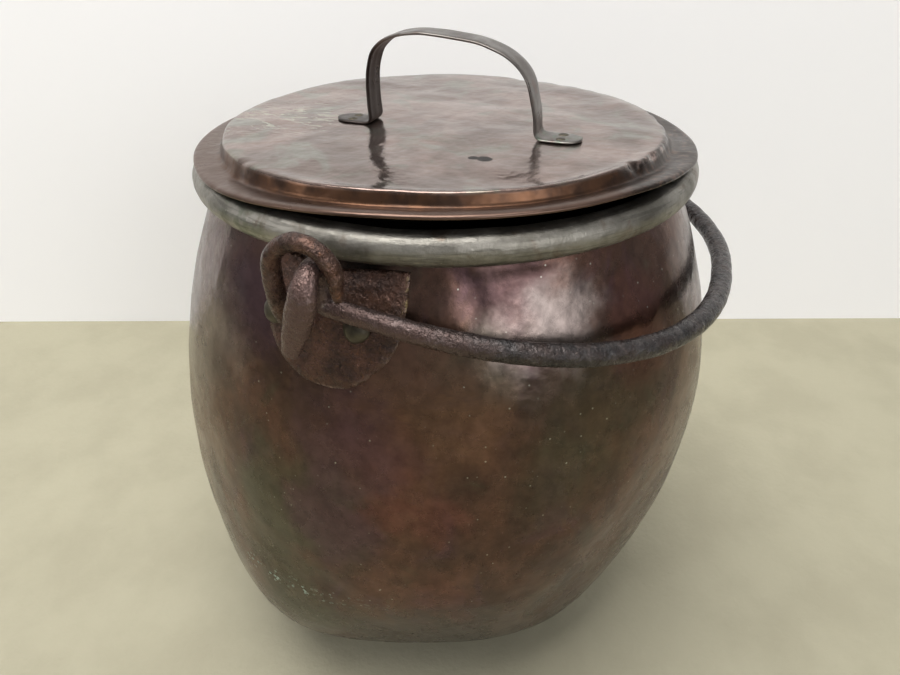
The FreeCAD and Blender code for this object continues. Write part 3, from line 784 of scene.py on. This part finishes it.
def hand_dent(turn, height, place):
    """How far the pot's sheet stands out from its true shape, in millimetres."""
    depth = 0.9 * waves(place, 130, 1) + 0.35 * waves(place, 48, 2)
    faceted = 1 + 1.3 * smoothstep(45, 20, turn_gap(turn, 222)) * smoothstep(280, 320, height)
    depth += HAMMER_DEPTH * faceted * (hammered(place, HAMMER_SIZE, 3) - 0.5)
    for dent_turn, dent_height, half_width, dent_depth in BODY_DENTS:
        if turn_gap(turn, dent_turn) < 60:
            middle = polar(wall_radius(dent_height), dent_turn, dent_height)
            depth -= dent_depth * hill((place - middle).length, half_width)
    calm = max(near_lug(turn, height), smoothstep(360, 368, height))
    return depth * (1 - calm) * smoothstep(0, 40, height)


def lean(height):
    """Sideways shift of the pot towards its base."""
    share = smoothstep(LEAN_START, 0, height)
    return LEAN_DIRECTION * (LEAN * share)


def pot_ring(station, offset):
    """Points round the pot at a station, with the sheet's dents and lean."""
    radius, height, out, rise = station
    if radius + offset * out < 0.01:
        return [Vector((0, 0, height + offset * rise)) + lean(height)]
    ring = []
    for number in range(TURNS):
        turn = 360 * number / TURNS
        stand = offset + hand_dent(turn, height, polar(radius, turn, height))
        ring.append(polar(radius + stand * out, turn, height + stand * rise) + lean(height))
    return ring


def make_pot_wall(copper, tin):
    """Wall from the seam to the edge inside the rim's roll: up the outside, then down the inside."""
    edge = 0.1  # the wall's lower edge stands a little proud of the bowl
    rows = 96
    heights = [SEAM_HEIGHT + (NECK_HEIGHT - SEAM_HEIGHT) * row / rows for row in range(rows + 1)]
    heights.insert(1, SEAM_HEIGHT + SEAM_CRISP)
    rings = [pot_ring(wall_station(SEAM_HEIGHT - 0.2), -0.9)]
    for height in heights:
        proud = edge * smoothstep(SEAM_HEIGHT + 9, SEAM_HEIGHT + 1, height)
        rings.append(pot_ring(wall_station(height), proud))
    rings += [pot_ring(wall_station(height), 0) for height in (NECK_MIDDLE, WALL_TOP_HEIGHT)]
    inner_start = len(rings)
    rings += [pot_ring(wall_station(height), -SHEET) for height in (WALL_TOP_HEIGHT, NECK_MIDDLE)]
    rings += [pot_ring(wall_station(height), -SHEET) for height in reversed(heights[::3])]
    piece = skin("pot_wall_copper", rings, copper, True, tin, inner_start)
    return stand_in(piece, "pot_wall", "pot")


def make_pot_bowl(copper, tin):
    """Bowl from its underside up to the lap inside the wall, and back down its inside."""
    stations = bowl_stations(10, 56, 10)
    rings = [pot_ring(station, 0) for station in stations]
    lap_gap = 0.15  # keeps the lap's outer face clear of the wall's inner face
    lap_heights = [SEAM_HEIGHT + 2 + (SEAM_LAP - 2) * row / 3 for row in range(4)]
    rings += [pot_ring(wall_station(height), -SHEET - lap_gap) for height in lap_heights]
    inner_start = len(rings)
    rings += [pot_ring(wall_station(height), -2 * SHEET) for height in reversed(lap_heights)]
    rings.append(pot_ring(wall_station(SEAM_HEIGHT - 2), -2 * SHEET))
    rings.append(pot_ring(wall_station(SEAM_HEIGHT - 4), -SHEET))
    inner = [station for station in stations[1::3] if station[1] < SEAM_HEIGHT - 5]
    rings += [pot_ring(station, -SHEET) for station in reversed(inner)]
    rings.append(pot_ring(stations[0], -SHEET))
    piece = skin("pot_bowl_copper", rings, copper, False, tin, inner_start)
    return stand_in(piece, "pot_bowl", "pot")


def make_rim(metal):
    """Rolled rim: a hammered tube of sheet, open in a slot below."""
    first, last = RIM_SLOT_ANGLES
    rings = []
    for radius, steps in ((RIM_TUBE_RADIUS, 44), (RIM_TUBE_RADIUS - RIM_SHEET, 20)):
        ends = (first, last) if radius == RIM_TUBE_RADIUS else (last, first)
        for step in range(steps + 1):
            angle = ends[0] + (ends[1] - ends[0]) * step / steps
            rings.append(rim_ring(radius, math.radians(angle)))
    piece = skin("rim_rolled_sheet", rings, metal, True)
    return stand_in(piece, "rim_roll", "pot")


def rim_ring(radius, angle):
    """Points round the pot along the rim's tube, at an angle about the tube's own middle."""
    ring = []
    top_share = smoothstep(-0.9, 0.2, math.sin(angle))
    for number in range(TURNS):
        turn = 360 * number / TURNS
        middle = polar(RIM_RING_RADIUS, turn, RIM_HEIGHT)
        on_tube = polar(RIM_RING_RADIUS + radius * math.cos(angle), turn, RIM_HEIGHT)
        on_tube.z += radius * math.sin(angle)
        sway_out = 0.7 * waves(middle, 70, 4) * top_share
        sway_up = -0.4 + 0.5 * waves(middle, 60, 5)
        swell = 0.28 * waves(on_tube, 13, 6) + 0.3 * waves(on_tube, 28, 7) - 0.15
        size = radius + swell * top_share
        out = RIM_RING_RADIUS + size * math.cos(angle) + sway_out
        ring.append(polar(out, turn, RIM_HEIGHT + size * math.sin(angle) + sway_up * top_share))
    return ring


# Lugs. Each is made on the -X side and mirrored for the +X side.


def on_side(piece, side):
    """Mirror a piece that was made on the -X side, if the side is +1."""
    if side > 0:
        piece.data.transform(Matrix.Scale(-1, 4, OUTWARDS_X))
        piece.data.flip_normals()
    return piece


def wall_point(across, height, outwards):
    """Point near the -X side of the wall: across is its Y, outwards its distance off the wall."""
    radius = wall_radius(height)
    turn = math.asin(across / radius)
    radial = Vector((-math.cos(turn), math.sin(turn), 0))
    slope = math.asin((height - BELLY_HEIGHT) / WALL_ARC_RADIUS)
    normal = radial * math.cos(slope) + UP * math.sin(slope)
    return radial * radius + UP * height + normal * outwards


def plate_half_width(height):
    """Half width of the lug plate at a height: straight sides over a round lower edge."""
    drop = PLATE_SHOULDER_HEIGHT - PLATE_BOTTOM_HEIGHT
    round_radius = (PLATE_HALF_WIDTH**2 + drop**2) / (2 * drop)
    below = height - PLATE_BOTTOM_HEIGHT - round_radius
    if height >= PLATE_SHOULDER_HEIGHT:
        return PLATE_HALF_WIDTH
    return math.sqrt(max(0.0, round_radius**2 - below**2))


def make_plate(drop, material):
    """Curved plate with a worn, uneven edge, as a closed grid bent to the wall."""
    rows, columns = 46, 46
    rings = []
    for row in range(rows + 1):
        rise = row / rows
        front, back = [], []
        for column in range(columns + 1):
            side = 2 * column / columns - 1
            top = PLATE_TOP_HEIGHT - 4.0 * (1 - side**2) + 1.5 * side**3
            height = PLATE_BOTTOM_HEIGHT + 0.3 + (top - PLATE_BOTTOM_HEIGHT - 0.3) * rise
            width = plate_half_width(height)
            across = PLATE_SHIFT + side * width
            uneven = 0.9 * waves(Vector((across, height, 0)), 16, 8)
            across += uneven * side
            edge = min(1 - abs(side), rise, 1 - rise)
            thick = PLATE_THICKNESS * (0.55 + 0.45 * smoothstep(0, 0.12, edge))
            thick += 0.5 * waves(Vector((across, height, 40)), 18, 9)
            thick += 3.2 * hill(math.hypot(across - 12, height - 340), 12)
            front.append(wall_point(across, height - drop, thick))
            back.append(wall_point(across, height - drop, -0.6))
        rings.append(front + back[::-1])
    return skin("plate", [pole(rings[0])] + rings + [pole(rings[-1])], material)


EYE_LINE = (  # in the eye's plane and behind it: towards the wall, across (+Y), rise, bar radius
    (0.6, -17.6, -9.5, 2.6),
    (0.0, -17.4, -4.5, 3.8),
    (0.0, -17.0, 1.6, 4.7),
    (0.0, -15.3, 7.8, 4.9),
    (0.0, -11.0, 13.2, 5.0),
    (0.0, -4.4, 16.7, 5.0),
    (0.0, 2.4, 17.0, 5.0),
    (0.0, 8.6, 14.7, 5.0),
    (0.0, 13.5, 10.2, 5.0),
    (0.0, 16.3, 4.0, 5.0),
    (0.0, 16.5, -3.0, 5.1),
    (0.4, 16.2, -10.0, 5.3),
    (1.4, 15.9, -17.0, 5.5),
    (5.5, 15.6, -26.5, 5.8),
    (14.5, 14.8, -35.5, 5.9),
    (20.5, 14.2, -41.0, 5.2),
)


def make_lug(name, node, drop, side, material):
    """Plate and eye merged into one forged, pitted piece."""
    stations = [
        Vector((inwards - EYE_DISTANCE, across, PIVOT_HEIGHT + rise - drop, radius))
        for inwards, across, rise, radius in EYE_LINE
    ]

    eye = bar("eye", smooth_line(stations, 1.6), OUTWARDS_X, material, lambda share: EYE_SECTION)
    lug = joined(name, [make_plate(drop, material), eye], material)
    lug = roughened(remeshed(lug, LUG_VOXEL, 3), forge_marks)
    return stand_in(on_side(lug, side), node, "pot")


def forge_marks(place):
    """Height of a forged surface: slow hammer waves and small rust pits."""
    slow = 0.5 * waves(place, 15, 10) + 0.3 * waves(place, 6.5, 11) - 0.2
    pit = max(0.0, waves(place, 2.8, 12) - 0.1)
    return slow - 0.45 * pit


def make_lug_rivets(name, node, drop, side, copper):
    """Hammered rivet heads outside, with shanks through to the tails inside the pot."""
    pieces = []
    for number, across in enumerate(LUG_RIVET_PLACES):
        height = LUG_RIVET_HEIGHT - drop
        seat = wall_point(across, height, 0)
        normal = (wall_point(across, height, 1) - seat).normalized()
        profile = [
            (0.0, 4.1), (2.0, 4.0), (4.0, 3.5), (5.6, 2.5), (6.8, 1.3), (7.4, 0.3), (7.3, -0.1),
            (3.5, -0.1), (3.5, -6.4), (5.5, -6.6), (5.2, -7.6), (3.8, -8.6), (1.8, -9.0), (0.0, -9.1),
        ]
        pieces.append(turned(seat + normal * PLATE_THICKNESS, normal, profile, 30, copper, 20 + number))
    rivets = joined(name, pieces, copper)
    return stand_in(on_side(rivets, side), node, "pot")


def turned(base, axis, profile, around, material, seed):
    """Slightly uneven turned piece: the profile gives (radius, distance along the axis)."""
    side = axis.orthogonal().normalized()
    across = axis.cross(side)
    rings = []
    for radius, along in profile:
        centre = base + axis * along
        if radius == 0:
            rings.append([centre])
            continue
        ring = []
        for number in range(around):
            angle = 2 * math.pi * number / around
            direction = side * math.cos(angle) + across * math.sin(angle)
            uneven = 1 + 0.09 * waves(direction * 2 + axis * along / 6, 1.3, seed)
            ring.append(centre + direction * radius * uneven)
        rings.append(ring)
    return skin("turned", rings, material)


# Bail.


def bail_half():
    """Stations from the hook's tip at +X to the middle of the bow: out, drop, reach and radius."""
    bend_radius = HOOK_OUT / 2
    bend_drop = bend_radius - HOOK_RISE
    stations = []
    for step in range(5):
        share = 1 - step / 5
        drop = bend_drop + share * (HOOK_TIP_DROP - 2 - bend_drop)
        reach = HOOK_REACH + HOOK_LEAN * (1 - 1.4 * share)
        stations.append((BAIL_HALF_SPAN + HOOK_OUT, drop, reach, 5.5 - 2.2 * share**1.5))
    for step in range(9):
        angle = math.pi * step / 8
        out = BAIL_HALF_SPAN + bend_radius * (1 + math.cos(angle))
        reach = HOOK_REACH + HOOK_LEAN * ((1 + math.cos(angle)) / 2) ** 2
        radius = BAIL_END_RADIUS - 0.3 * math.sin(angle)
        stations.append((out, bend_drop - bend_radius * math.sin(angle), reach, radius))
    for step in (1, 2):
        angle = math.pi / 4 * step
        drop = BAIL_DROP - HOOK_CORNER * (1 - math.sin(angle))
        reach = HOOK_REACH + HOOK_CORNER * (1 - math.cos(angle))
        stations.append((BAIL_HALF_SPAN, drop, reach, BAIL_END_RADIUS))
    bow_steps = 24
    for step in range(1, bow_steps + 1):
        angle = math.radians(BOW_START_ANGLE * (1 - step / bow_steps))
        out = BAIL_HALF_SPAN * math.sin(angle) ** BOW_SIDE_POWER
        reach = BAIL_REACH * math.cos(angle) ** BOW_FRONT_POWER
        radius = BAIL_END_RADIUS + (BAIL_RADIUS - BAIL_END_RADIUS) * math.cos(angle) ** 0.5
        stations.append((out, BAIL_DROP, reach, radius))
    return stations


def make_bail(iron):
    """Bow and hooks as one bar, folded down at the front and tilted to the lower right lug."""
    fold = math.radians(BAIL_FOLD_ANGLE)
    forward = Vector((0, -math.cos(fold), -math.sin(fold)))
    down = Vector((0, math.sin(fold), -math.cos(fold)))
    half = bail_half()
    other = [(-out, drop, reach, radius) for out, drop, reach, radius in reversed(half[:-1])]
    tilt = Matrix.Rotation(math.atan2(RIGHT_LUG_DROP, 2 * EYE_DISTANCE), 3, "Y")
    stations = []
    for out, drop, reach, radius in half + other:
        place = tilt @ (Vector((out, 0, 0)) + down * drop + forward * reach)
        place.z += PIVOT_HEIGHT - RIGHT_LUG_DROP / 2
        stations.append(Vector((*place, radius)))
    bail = bar("bail_forged_bar", smooth_line(stations, 1.5), OUTWARDS_X, iron, bail_section, 40)
    roughened(bail, bail_marks)
    return stand_in(bail, "bail", "swing_bail")


def bail_section(share):
    """Shares of the bar's radius along its length: round in the bow, and deeper at the hooks."""
    end = smoothstep(HOOK_SHARE, HOOK_SHARE * 0.5, min(share, 1 - share))
    return 1 - 0.1 * end, 1 + 0.46 * end


def bail_marks(place):
    """Height of the bar's surface: hammer waves, shallower than the lugs', and small pits."""
    slow = 0.35 * waves(place, 26, 13) + 0.25 * waves(place, 9, 14) - 0.1
    pit = max(0.0, waves(place, 3.2, 15) - 0.1)
    return slow - 0.4 * pit


# Lid.


def front_raise(turn, radius):
    """How far the lid's flange is bent up at a place near its edge."""
    window = smoothstep(78, 20, turn_gap(turn, LID_FRONT_TURN + 12))
    return LID_FRONT_RAISE * window * smoothstep(128, 160, radius)


def lid_shape(radius, turn, height):
    """Hand-made lid point from its true place: crimps on the edge, waves and a bent-up front."""
    place = polar(radius, turn, height)
    on_step = smoothstep(LID_TOP_RADIUS - 12, LID_TOP_RADIUS - 1, radius)
    on_step *= smoothstep(LID_TOP_RADIUS + 6, LID_TOP_RADIUS + 1.5, radius)
    upper = smoothstep(LID_FLANGE_TOP, LID_TOP_HEIGHT, height)
    crimp_start, crimp_end = LID_CRIMP_TURN - 57, LID_CRIMP_TURN + 57
    crimped = smoothstep(crimp_start - 4, crimp_start + 4, turn)
    crimped *= 1 - smoothstep(crimp_end - 4, crimp_end + 4, turn)
    nick = max(0.0, noise.noise(Vector((turn / 4.6, 0.3, 0)))) * 3.0 + 1.0
    shift = -crimped * on_step * upper * nick
    shift -= 0.7 * on_step * upper * (1 + waves(place, 12, 17)) * 0.6
    notch = math.exp(-((turn - LID_NOTCH_TURN) / 1.6) ** 2)
    shift -= 2.6 * notch * on_step * upper
    flange = smoothstep(150, 160, radius)
    shift += flange * 0.9 * waves(place, 40, 18)
    rise = 1.5 * waves(place, 120, 19) + 1.0 * waves(place, 42, 20) + 0.45 * waves(place, 17, 21)
    rise += 0.25 * (hammered(place, 24, 22) - 0.5)
    dimple_radius, dimple_turn, dimple_size = LID_DIMPLE
    rise -= 2.2 * hill((place - polar(dimple_radius, dimple_turn, height)).length, dimple_size)
    rise *= smoothstep(165, 120, radius) * 0.85 + 0.15
    rise -= crimped * 0.8 * on_step * upper
    rise += front_raise(turn, radius)
    return polar(radius + shift, turn, height + rise)


def lid_profile():
    """Radius and height along the lid's section, from the top's middle round to the underside's."""
    top, flange = LID_TOP_HEIGHT, LID_FLANGE_TOP
    below_top, below_flange = top - LID_SHEET, flange - LID_SHEET
    step, edge = LID_TOP_RADIUS, LID_FLANGE_RADIUS
    rows = [(radius, top) for radius in [0] + list(range(3, 141, 3))]
    rows += [(step - 2.2, top - 0.05), (step - 1, top - 0.5), (step - 0.3, top - 1.4)]
    rows += [(step + 0.2, top - 2.8), (step + 0.8, top - 4.8), (step + 1.4, top - 6.8)]
    rows += [(step + 2, flange + 1.2), (step + 3, flange + 0.35)]
    rows += [(radius, flange) for radius in (148.6, 151, 153.5, 156, 158.5)]
    rows += [(edge - 1.9, flange - 0.1), (edge - 0.7, flange - 0.4), (edge - 0.1, flange - 1.1)]
    rows += [(edge, LID_LIP_LOW + 0.3), (edge - 0.6, LID_LIP_LOW), (edge - 1.4, LID_LIP_LOW + 0.3)]
    rows += [(radius, below_flange) for radius in (edge - 1.6, 156, 150, step + 1.4)]
    rows += [(step + 0.4, below_flange + 1), (step - 1.4, below_top - 0.8), (step - 2.6, below_top)]
    return rows + [(radius, below_top) for radius in list(range(138, 5, -6)) + [0]]


def make_lid(copper):
    """Lid as one sheet: raised top, step, flange and turned-down lip."""
    turns = [360 * number / TURNS for number in range(TURNS)]
    rings = []
    for radius, height in lid_profile():
        if radius == 0:
            rings.append([lid_shape(0.01, 0, height)])
        else:
            rings.append([lid_shape(radius, turn, height) for turn in turns])
    lid = skin("lid_sheet", rings, copper)
    return stand_in(lid, "lid_pan", "lid")


STRAP_LINE = (  # along the arch and height of the strap's middle
    (-54.5, 4.2), (-55.2, 14.0), (-55.3, 26.4), (-54.2, 35.5), (-51.4, 43.6), (-47.2, 48.6),
    (-41.4, 52.5), (-34.0, 55.0), (-24.6, 56.4), (-15.2, 56.8), (0.2, 55.5), (15.4, 53.6),
    (27.4, 50.1), (36.2, 46.0), (43.8, 39.9), (48.6, 32.6), (51.4, 23.2), (53.6, 13.2), (54.5, 4.2),
)


def strap_stations():
    """Middle line of the strap from one foot's end to the other."""
    low = STRAP_THICKNESS / 2
    left = [(-STRAP_FOOT_END, low), (-75.0, low), (-68.5, low), (-61.5, low), (-57.0, low + 0.5)]
    right = [(-along, height) for along, height in reversed(left)]
    points = [Vector((along, 0, height, 1)) for along, height in left + list(STRAP_LINE) + right]
    return smooth_line(points, 1.4)


def strap_section(reach, foot):
    """Outline of the strap across its width: raised hems along the inner side, rounded edges."""
    steps = 20
    outer, inner = [], []
    for step in range(steps + 1):
        side = math.cos(math.pi * step / steps)
        edge = math.sqrt(max(0.0, 1 - side**8))
        hem = 0.35 * math.exp(-((abs(side) - 0.8) / 0.12) ** 2) + 0.2 * math.exp(-((side / 0.15) ** 2))
        outer.append((side * reach, 0.95 * edge + 0.15 * (1 - side**2)))
        inner.append((side * reach, -(0.85 * edge + hem * (1 - foot))))
    return outer + inner[-2:0:-1]


def make_strap(metal):
    """Strap handle with rounded feet, made along X in its own frame."""
    stations = strap_stations()
    rings = []
    for number, station in enumerate(stations):
        tangent = tangent_at(stations, number)
        outward = Vector((-tangent.z, 0, tangent.x))
        to_end = max(0.4, STRAP_FOOT_END - abs(station.x))
        reach = STRAP_HALF_WIDTH
        if to_end < STRAP_HALF_WIDTH:
            reach = math.sqrt(STRAP_HALF_WIDTH**2 - (STRAP_HALF_WIDTH - to_end) ** 2)
        foot = smoothstep(6, 2, station.z)
        drift = 0.5 * waves(station.xyz, 40, 23)
        ring = []
        for side, thick in strap_section(reach, foot):
            thick += 0.25 * (1 - foot) * waves(Vector((station.x, side, station.z)), 13, 24)
            ring.append(station.xyz + Vector((0, side + drift, 0)) + outward * thick)
        rings.append(ring)
    strap = skin("lid_strap_handle", [pole(rings[0])] + rings + [pole(rings[-1])], metal)
    return on_lid(strap, "lid_handle")


def on_lid(piece, node):
    """Turn and move a handle piece from the arch's own frame to the lid."""
    turn = Matrix.Rotation(math.radians(STRAP_TURN), 4, "Z")
    shift = Matrix.Translation(Vector((*STRAP_SHIFT, LID_TOP_HEIGHT)) * MM)
    piece.data.transform(shift @ turn)
    return stand_in(piece, node, "lid")


def make_handle_rivets(copper):
    """Two small rivets in each foot, through the lid to tails below it."""
    low = -LID_SHEET - 1.2
    profile = [
        (0.0, 2.8), (1.4, 2.7), (2.5, 2.45), (3.2, 2.1), (3.3, 1.9), (2.0, 1.8), (2.0, low + 0.1),
        (3.3, low), (3.1, low - 0.3), (2.2, low - 0.7), (0.0, low - 0.9),
    ]
    pieces = []
    for end in (-1, 1):
        for side in (-1, 1):
            base = Vector((end * STRAP_RIVET_OUT, side * STRAP_RIVET_HALF_GAP, 0))
            pieces.append(turned(base, UP, profile, 24, copper, 30 + 2 * end + side))
    return on_lid(joined("lid_strap_rivets", pieces, copper), "handle_rivets")


# Set.


def make_camera():
    """Camera in front of the left lug, looking down at the kettle."""
    pitch, heading = math.radians(CAMERA_PITCH), math.radians(CAMERA_TURN)
    level = Vector((math.cos(heading), math.sin(heading), 0))
    forward = level * math.cos(pitch) - UP * math.sin(pitch)
    camera = bpy.data.objects.new("camera", bpy.data.cameras.new("camera"))
    bpy.context.scene.collection.objects.link(camera)
    camera.data.lens = CAMERA_LENS
    camera.data.sensor_width = 36.0
    camera.data.clip_start = 0.01
    camera.location = CAMERA_PLACE * MM
    turn = forward.to_track_quat("-Z", "Y").to_matrix()
    roll = Matrix.Rotation(math.radians(CAMERA_ROLL), 3, forward)
    camera.rotation_euler = (roll @ turn).to_euler()
    bpy.context.scene.camera = camera


def flat_sheet(name, centre, first, second, material):
    """Big flat rectangle for the set, with half sides first and second."""
    corners = [centre + a * first + b * second for a, b in ((-1, -1), (1, -1), (1, 1), (-1, 1))]
    mesh = bpy.data.meshes.new(name)
    mesh.from_pydata([corner * MM for corner in corners], [], [(0, 1, 2, 3)])
    mesh.materials.append(material)
    sheet = bpy.data.objects.new(name, mesh)
    bpy.context.scene.collection.objects.link(sheet)


def backdrop_material():
    """Pale wall that is only seen from its front, with painted light: it glows, more strongly low down, and
    its colour darkens higher up as painted shade.
    """
    wall = Finish("backdrop")
    # painted shade: the wall's colour darkens higher up
    high = wall.fade(wall.axis("Z"), 0.55, 1.05)
    wall.set(Base_Color=wall.mix(high, (0.83, 0.83, 0.84), (0.42, 0.42, 0.43)), Roughness=0.9)
    # painted light: the wall glows, more strongly low down
    wall.set(Emission_Color=(0.99, 0.98, 0.98), Emission_Strength=wall.fade(high, 0.0, 1.0, 0.19, 0.05))
    clear = wall.nodes.new("ShaderNodeBsdfTransparent")
    chooser = wall.nodes.new("ShaderNodeMixShader")
    facing = wall.nodes.new("ShaderNodeNewGeometry").outputs["Backfacing"]
    wall.put(chooser.inputs[0], facing)
    wall.put(chooser.inputs[1], wall.surface.outputs[0])
    wall.put(chooser.inputs[2], clear.outputs[0])
    wall.put(wall.nodes["Material Output"].inputs["Surface"], chooser.outputs[0])
    return wall.material


def floor_material():
    """Plain pale floor with a slight mottle."""
    floor = Finish("floor")
    colour = floor.clouds(90, (0.455, 0.43, 0.315), (0.41, 0.385, 0.28), detail=5)
    floor.set(Base_Color=colour, Roughness=0.95)
    floor.bump((floor.noise(6, detail=4), 0.8))
    return floor.material


def make_world():
    """Dim even room light, with one soft bright patch in front of the kettle to the right."""
    world = bpy.data.worlds.new("room")
    bpy.context.scene.world = world
    world.use_nodes = True
    nodes, links = world.node_tree.nodes, world.node_tree.links
    place = nodes.new("ShaderNodeTexCoord").outputs["Generated"]
    dot = nodes.new("ShaderNodeVectorMath")
    dot.operation = "DOT_PRODUCT"
    dot.inputs[1].default_value = polar(1, GLOW_TURN, GLOW_RISE).normalized()
    links.new(place, dot.inputs[0])
    ramp = fade_node(nodes, *GLOW_EDGE, ROOM_LIGHT, GLOW_LIGHT)
    links.new(dot.outputs["Value"], ramp.inputs["Value"])
    background = nodes["Background"]
    background.inputs["Color"].default_value = (0.99, 0.98, 0.98, 1)
    links.new(ramp.outputs["Result"], background.inputs["Strength"])


def area_light(name, place, target, size, watts):
    """Square soft light at a place in metres, aimed at a target."""
    lamp = bpy.data.lights.new(name, "AREA")
    lamp.shape = "SQUARE"
    lamp.size = size
    lamp.energy = watts
    lamp.color = (1.0, 0.98, 0.96)
    piece = bpy.data.objects.new(name, lamp)
    bpy.context.scene.collection.objects.link(piece)
    piece.location = place
    piece.rotation_euler = (target - place).to_track_quat("-Z", "Y").to_euler()


LAMPS = (  # name, place and aimed-at point in metres, side of the square in metres, watts
    ("ceiling", Vector((-0.3, 0.2, 2.2)), Vector((0, 0, 0.2)), 1.5, 46),
    ("window", polar(2.3, 229, 1.3), Vector((-0.13, -0.1, 0.35)), 0.5, 3),
    ("side_window", polar(2.0, 125, 1.2), Vector((-0.15, 0.1, 0.3)), 0.6, 3.5),
)


def make_set():
    """Floor, wall, room light, lamps and camera."""
    ahead, sideways = Vector((FLOOR_HALF_WIDTH, 0, 0)), Vector((0, FLOOR_HALF_WIDTH, 0))
    flat_sheet("floor", Vector(), ahead, sideways, floor_material())
    upwards = UP * WALL_HALF_HEIGHT
    wall_middle = polar(WALL_DISTANCE, CAMERA_TURN, 0) + upwards
    along = polar(WALL_HALF_WIDTH, CAMERA_TURN - 90, 0)
    flat_sheet("wall", wall_middle, along, upwards, backdrop_material())
    make_world()
    for name, place, target, size, watts in LAMPS:
        area_light(name, place, target, size, watts)
    make_camera()
    bpy.context.scene.view_settings.view_transform = "Standard"


def dress_hidden_nodes(iron, rivet):
    """Materials for the CAD pieces that stay as they are."""
    for node, material, slot_name in (
        ("rim_hoop", iron, "forged_iron"),
        ("lug_washers_left", rivet, "rivet_copper"),
        ("lug_washers_right", rivet, "rivet_copper"),
        ("handle_washers", rivet, "rivet_copper"),
    ):
        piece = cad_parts[node]
        piece.data.materials.clear()
        piece.data.materials.append(material)


def main():
    body, tin, rim = copper_body(), tinned_inside(), rim_metal()
    lug, bail, rivet = lug_iron(), bail_iron(), rivet_copper()
    make_pot_wall(body, tin)
    make_pot_bowl(body, tin)
    make_rim(rim)
    make_lug("lug_left_forged", "lug_left", 0, -1, lug)
    make_lug("lug_right_forged", "lug_right", RIGHT_LUG_DROP, 1, lug)
    make_lug_rivets("lug_rivets_left_domes", "lug_rivets_left", 0, -1, rivet)
    make_lug_rivets("lug_rivets_right_domes", "lug_rivets_right", RIGHT_LUG_DROP, 1, rivet)
    make_bail(bail)
    make_lid(lid_copper())
    make_strap(strap_metal())
    make_handle_rivets(rivet)
    dress_hidden_nodes(lug, rivet)
    make_set()


main()
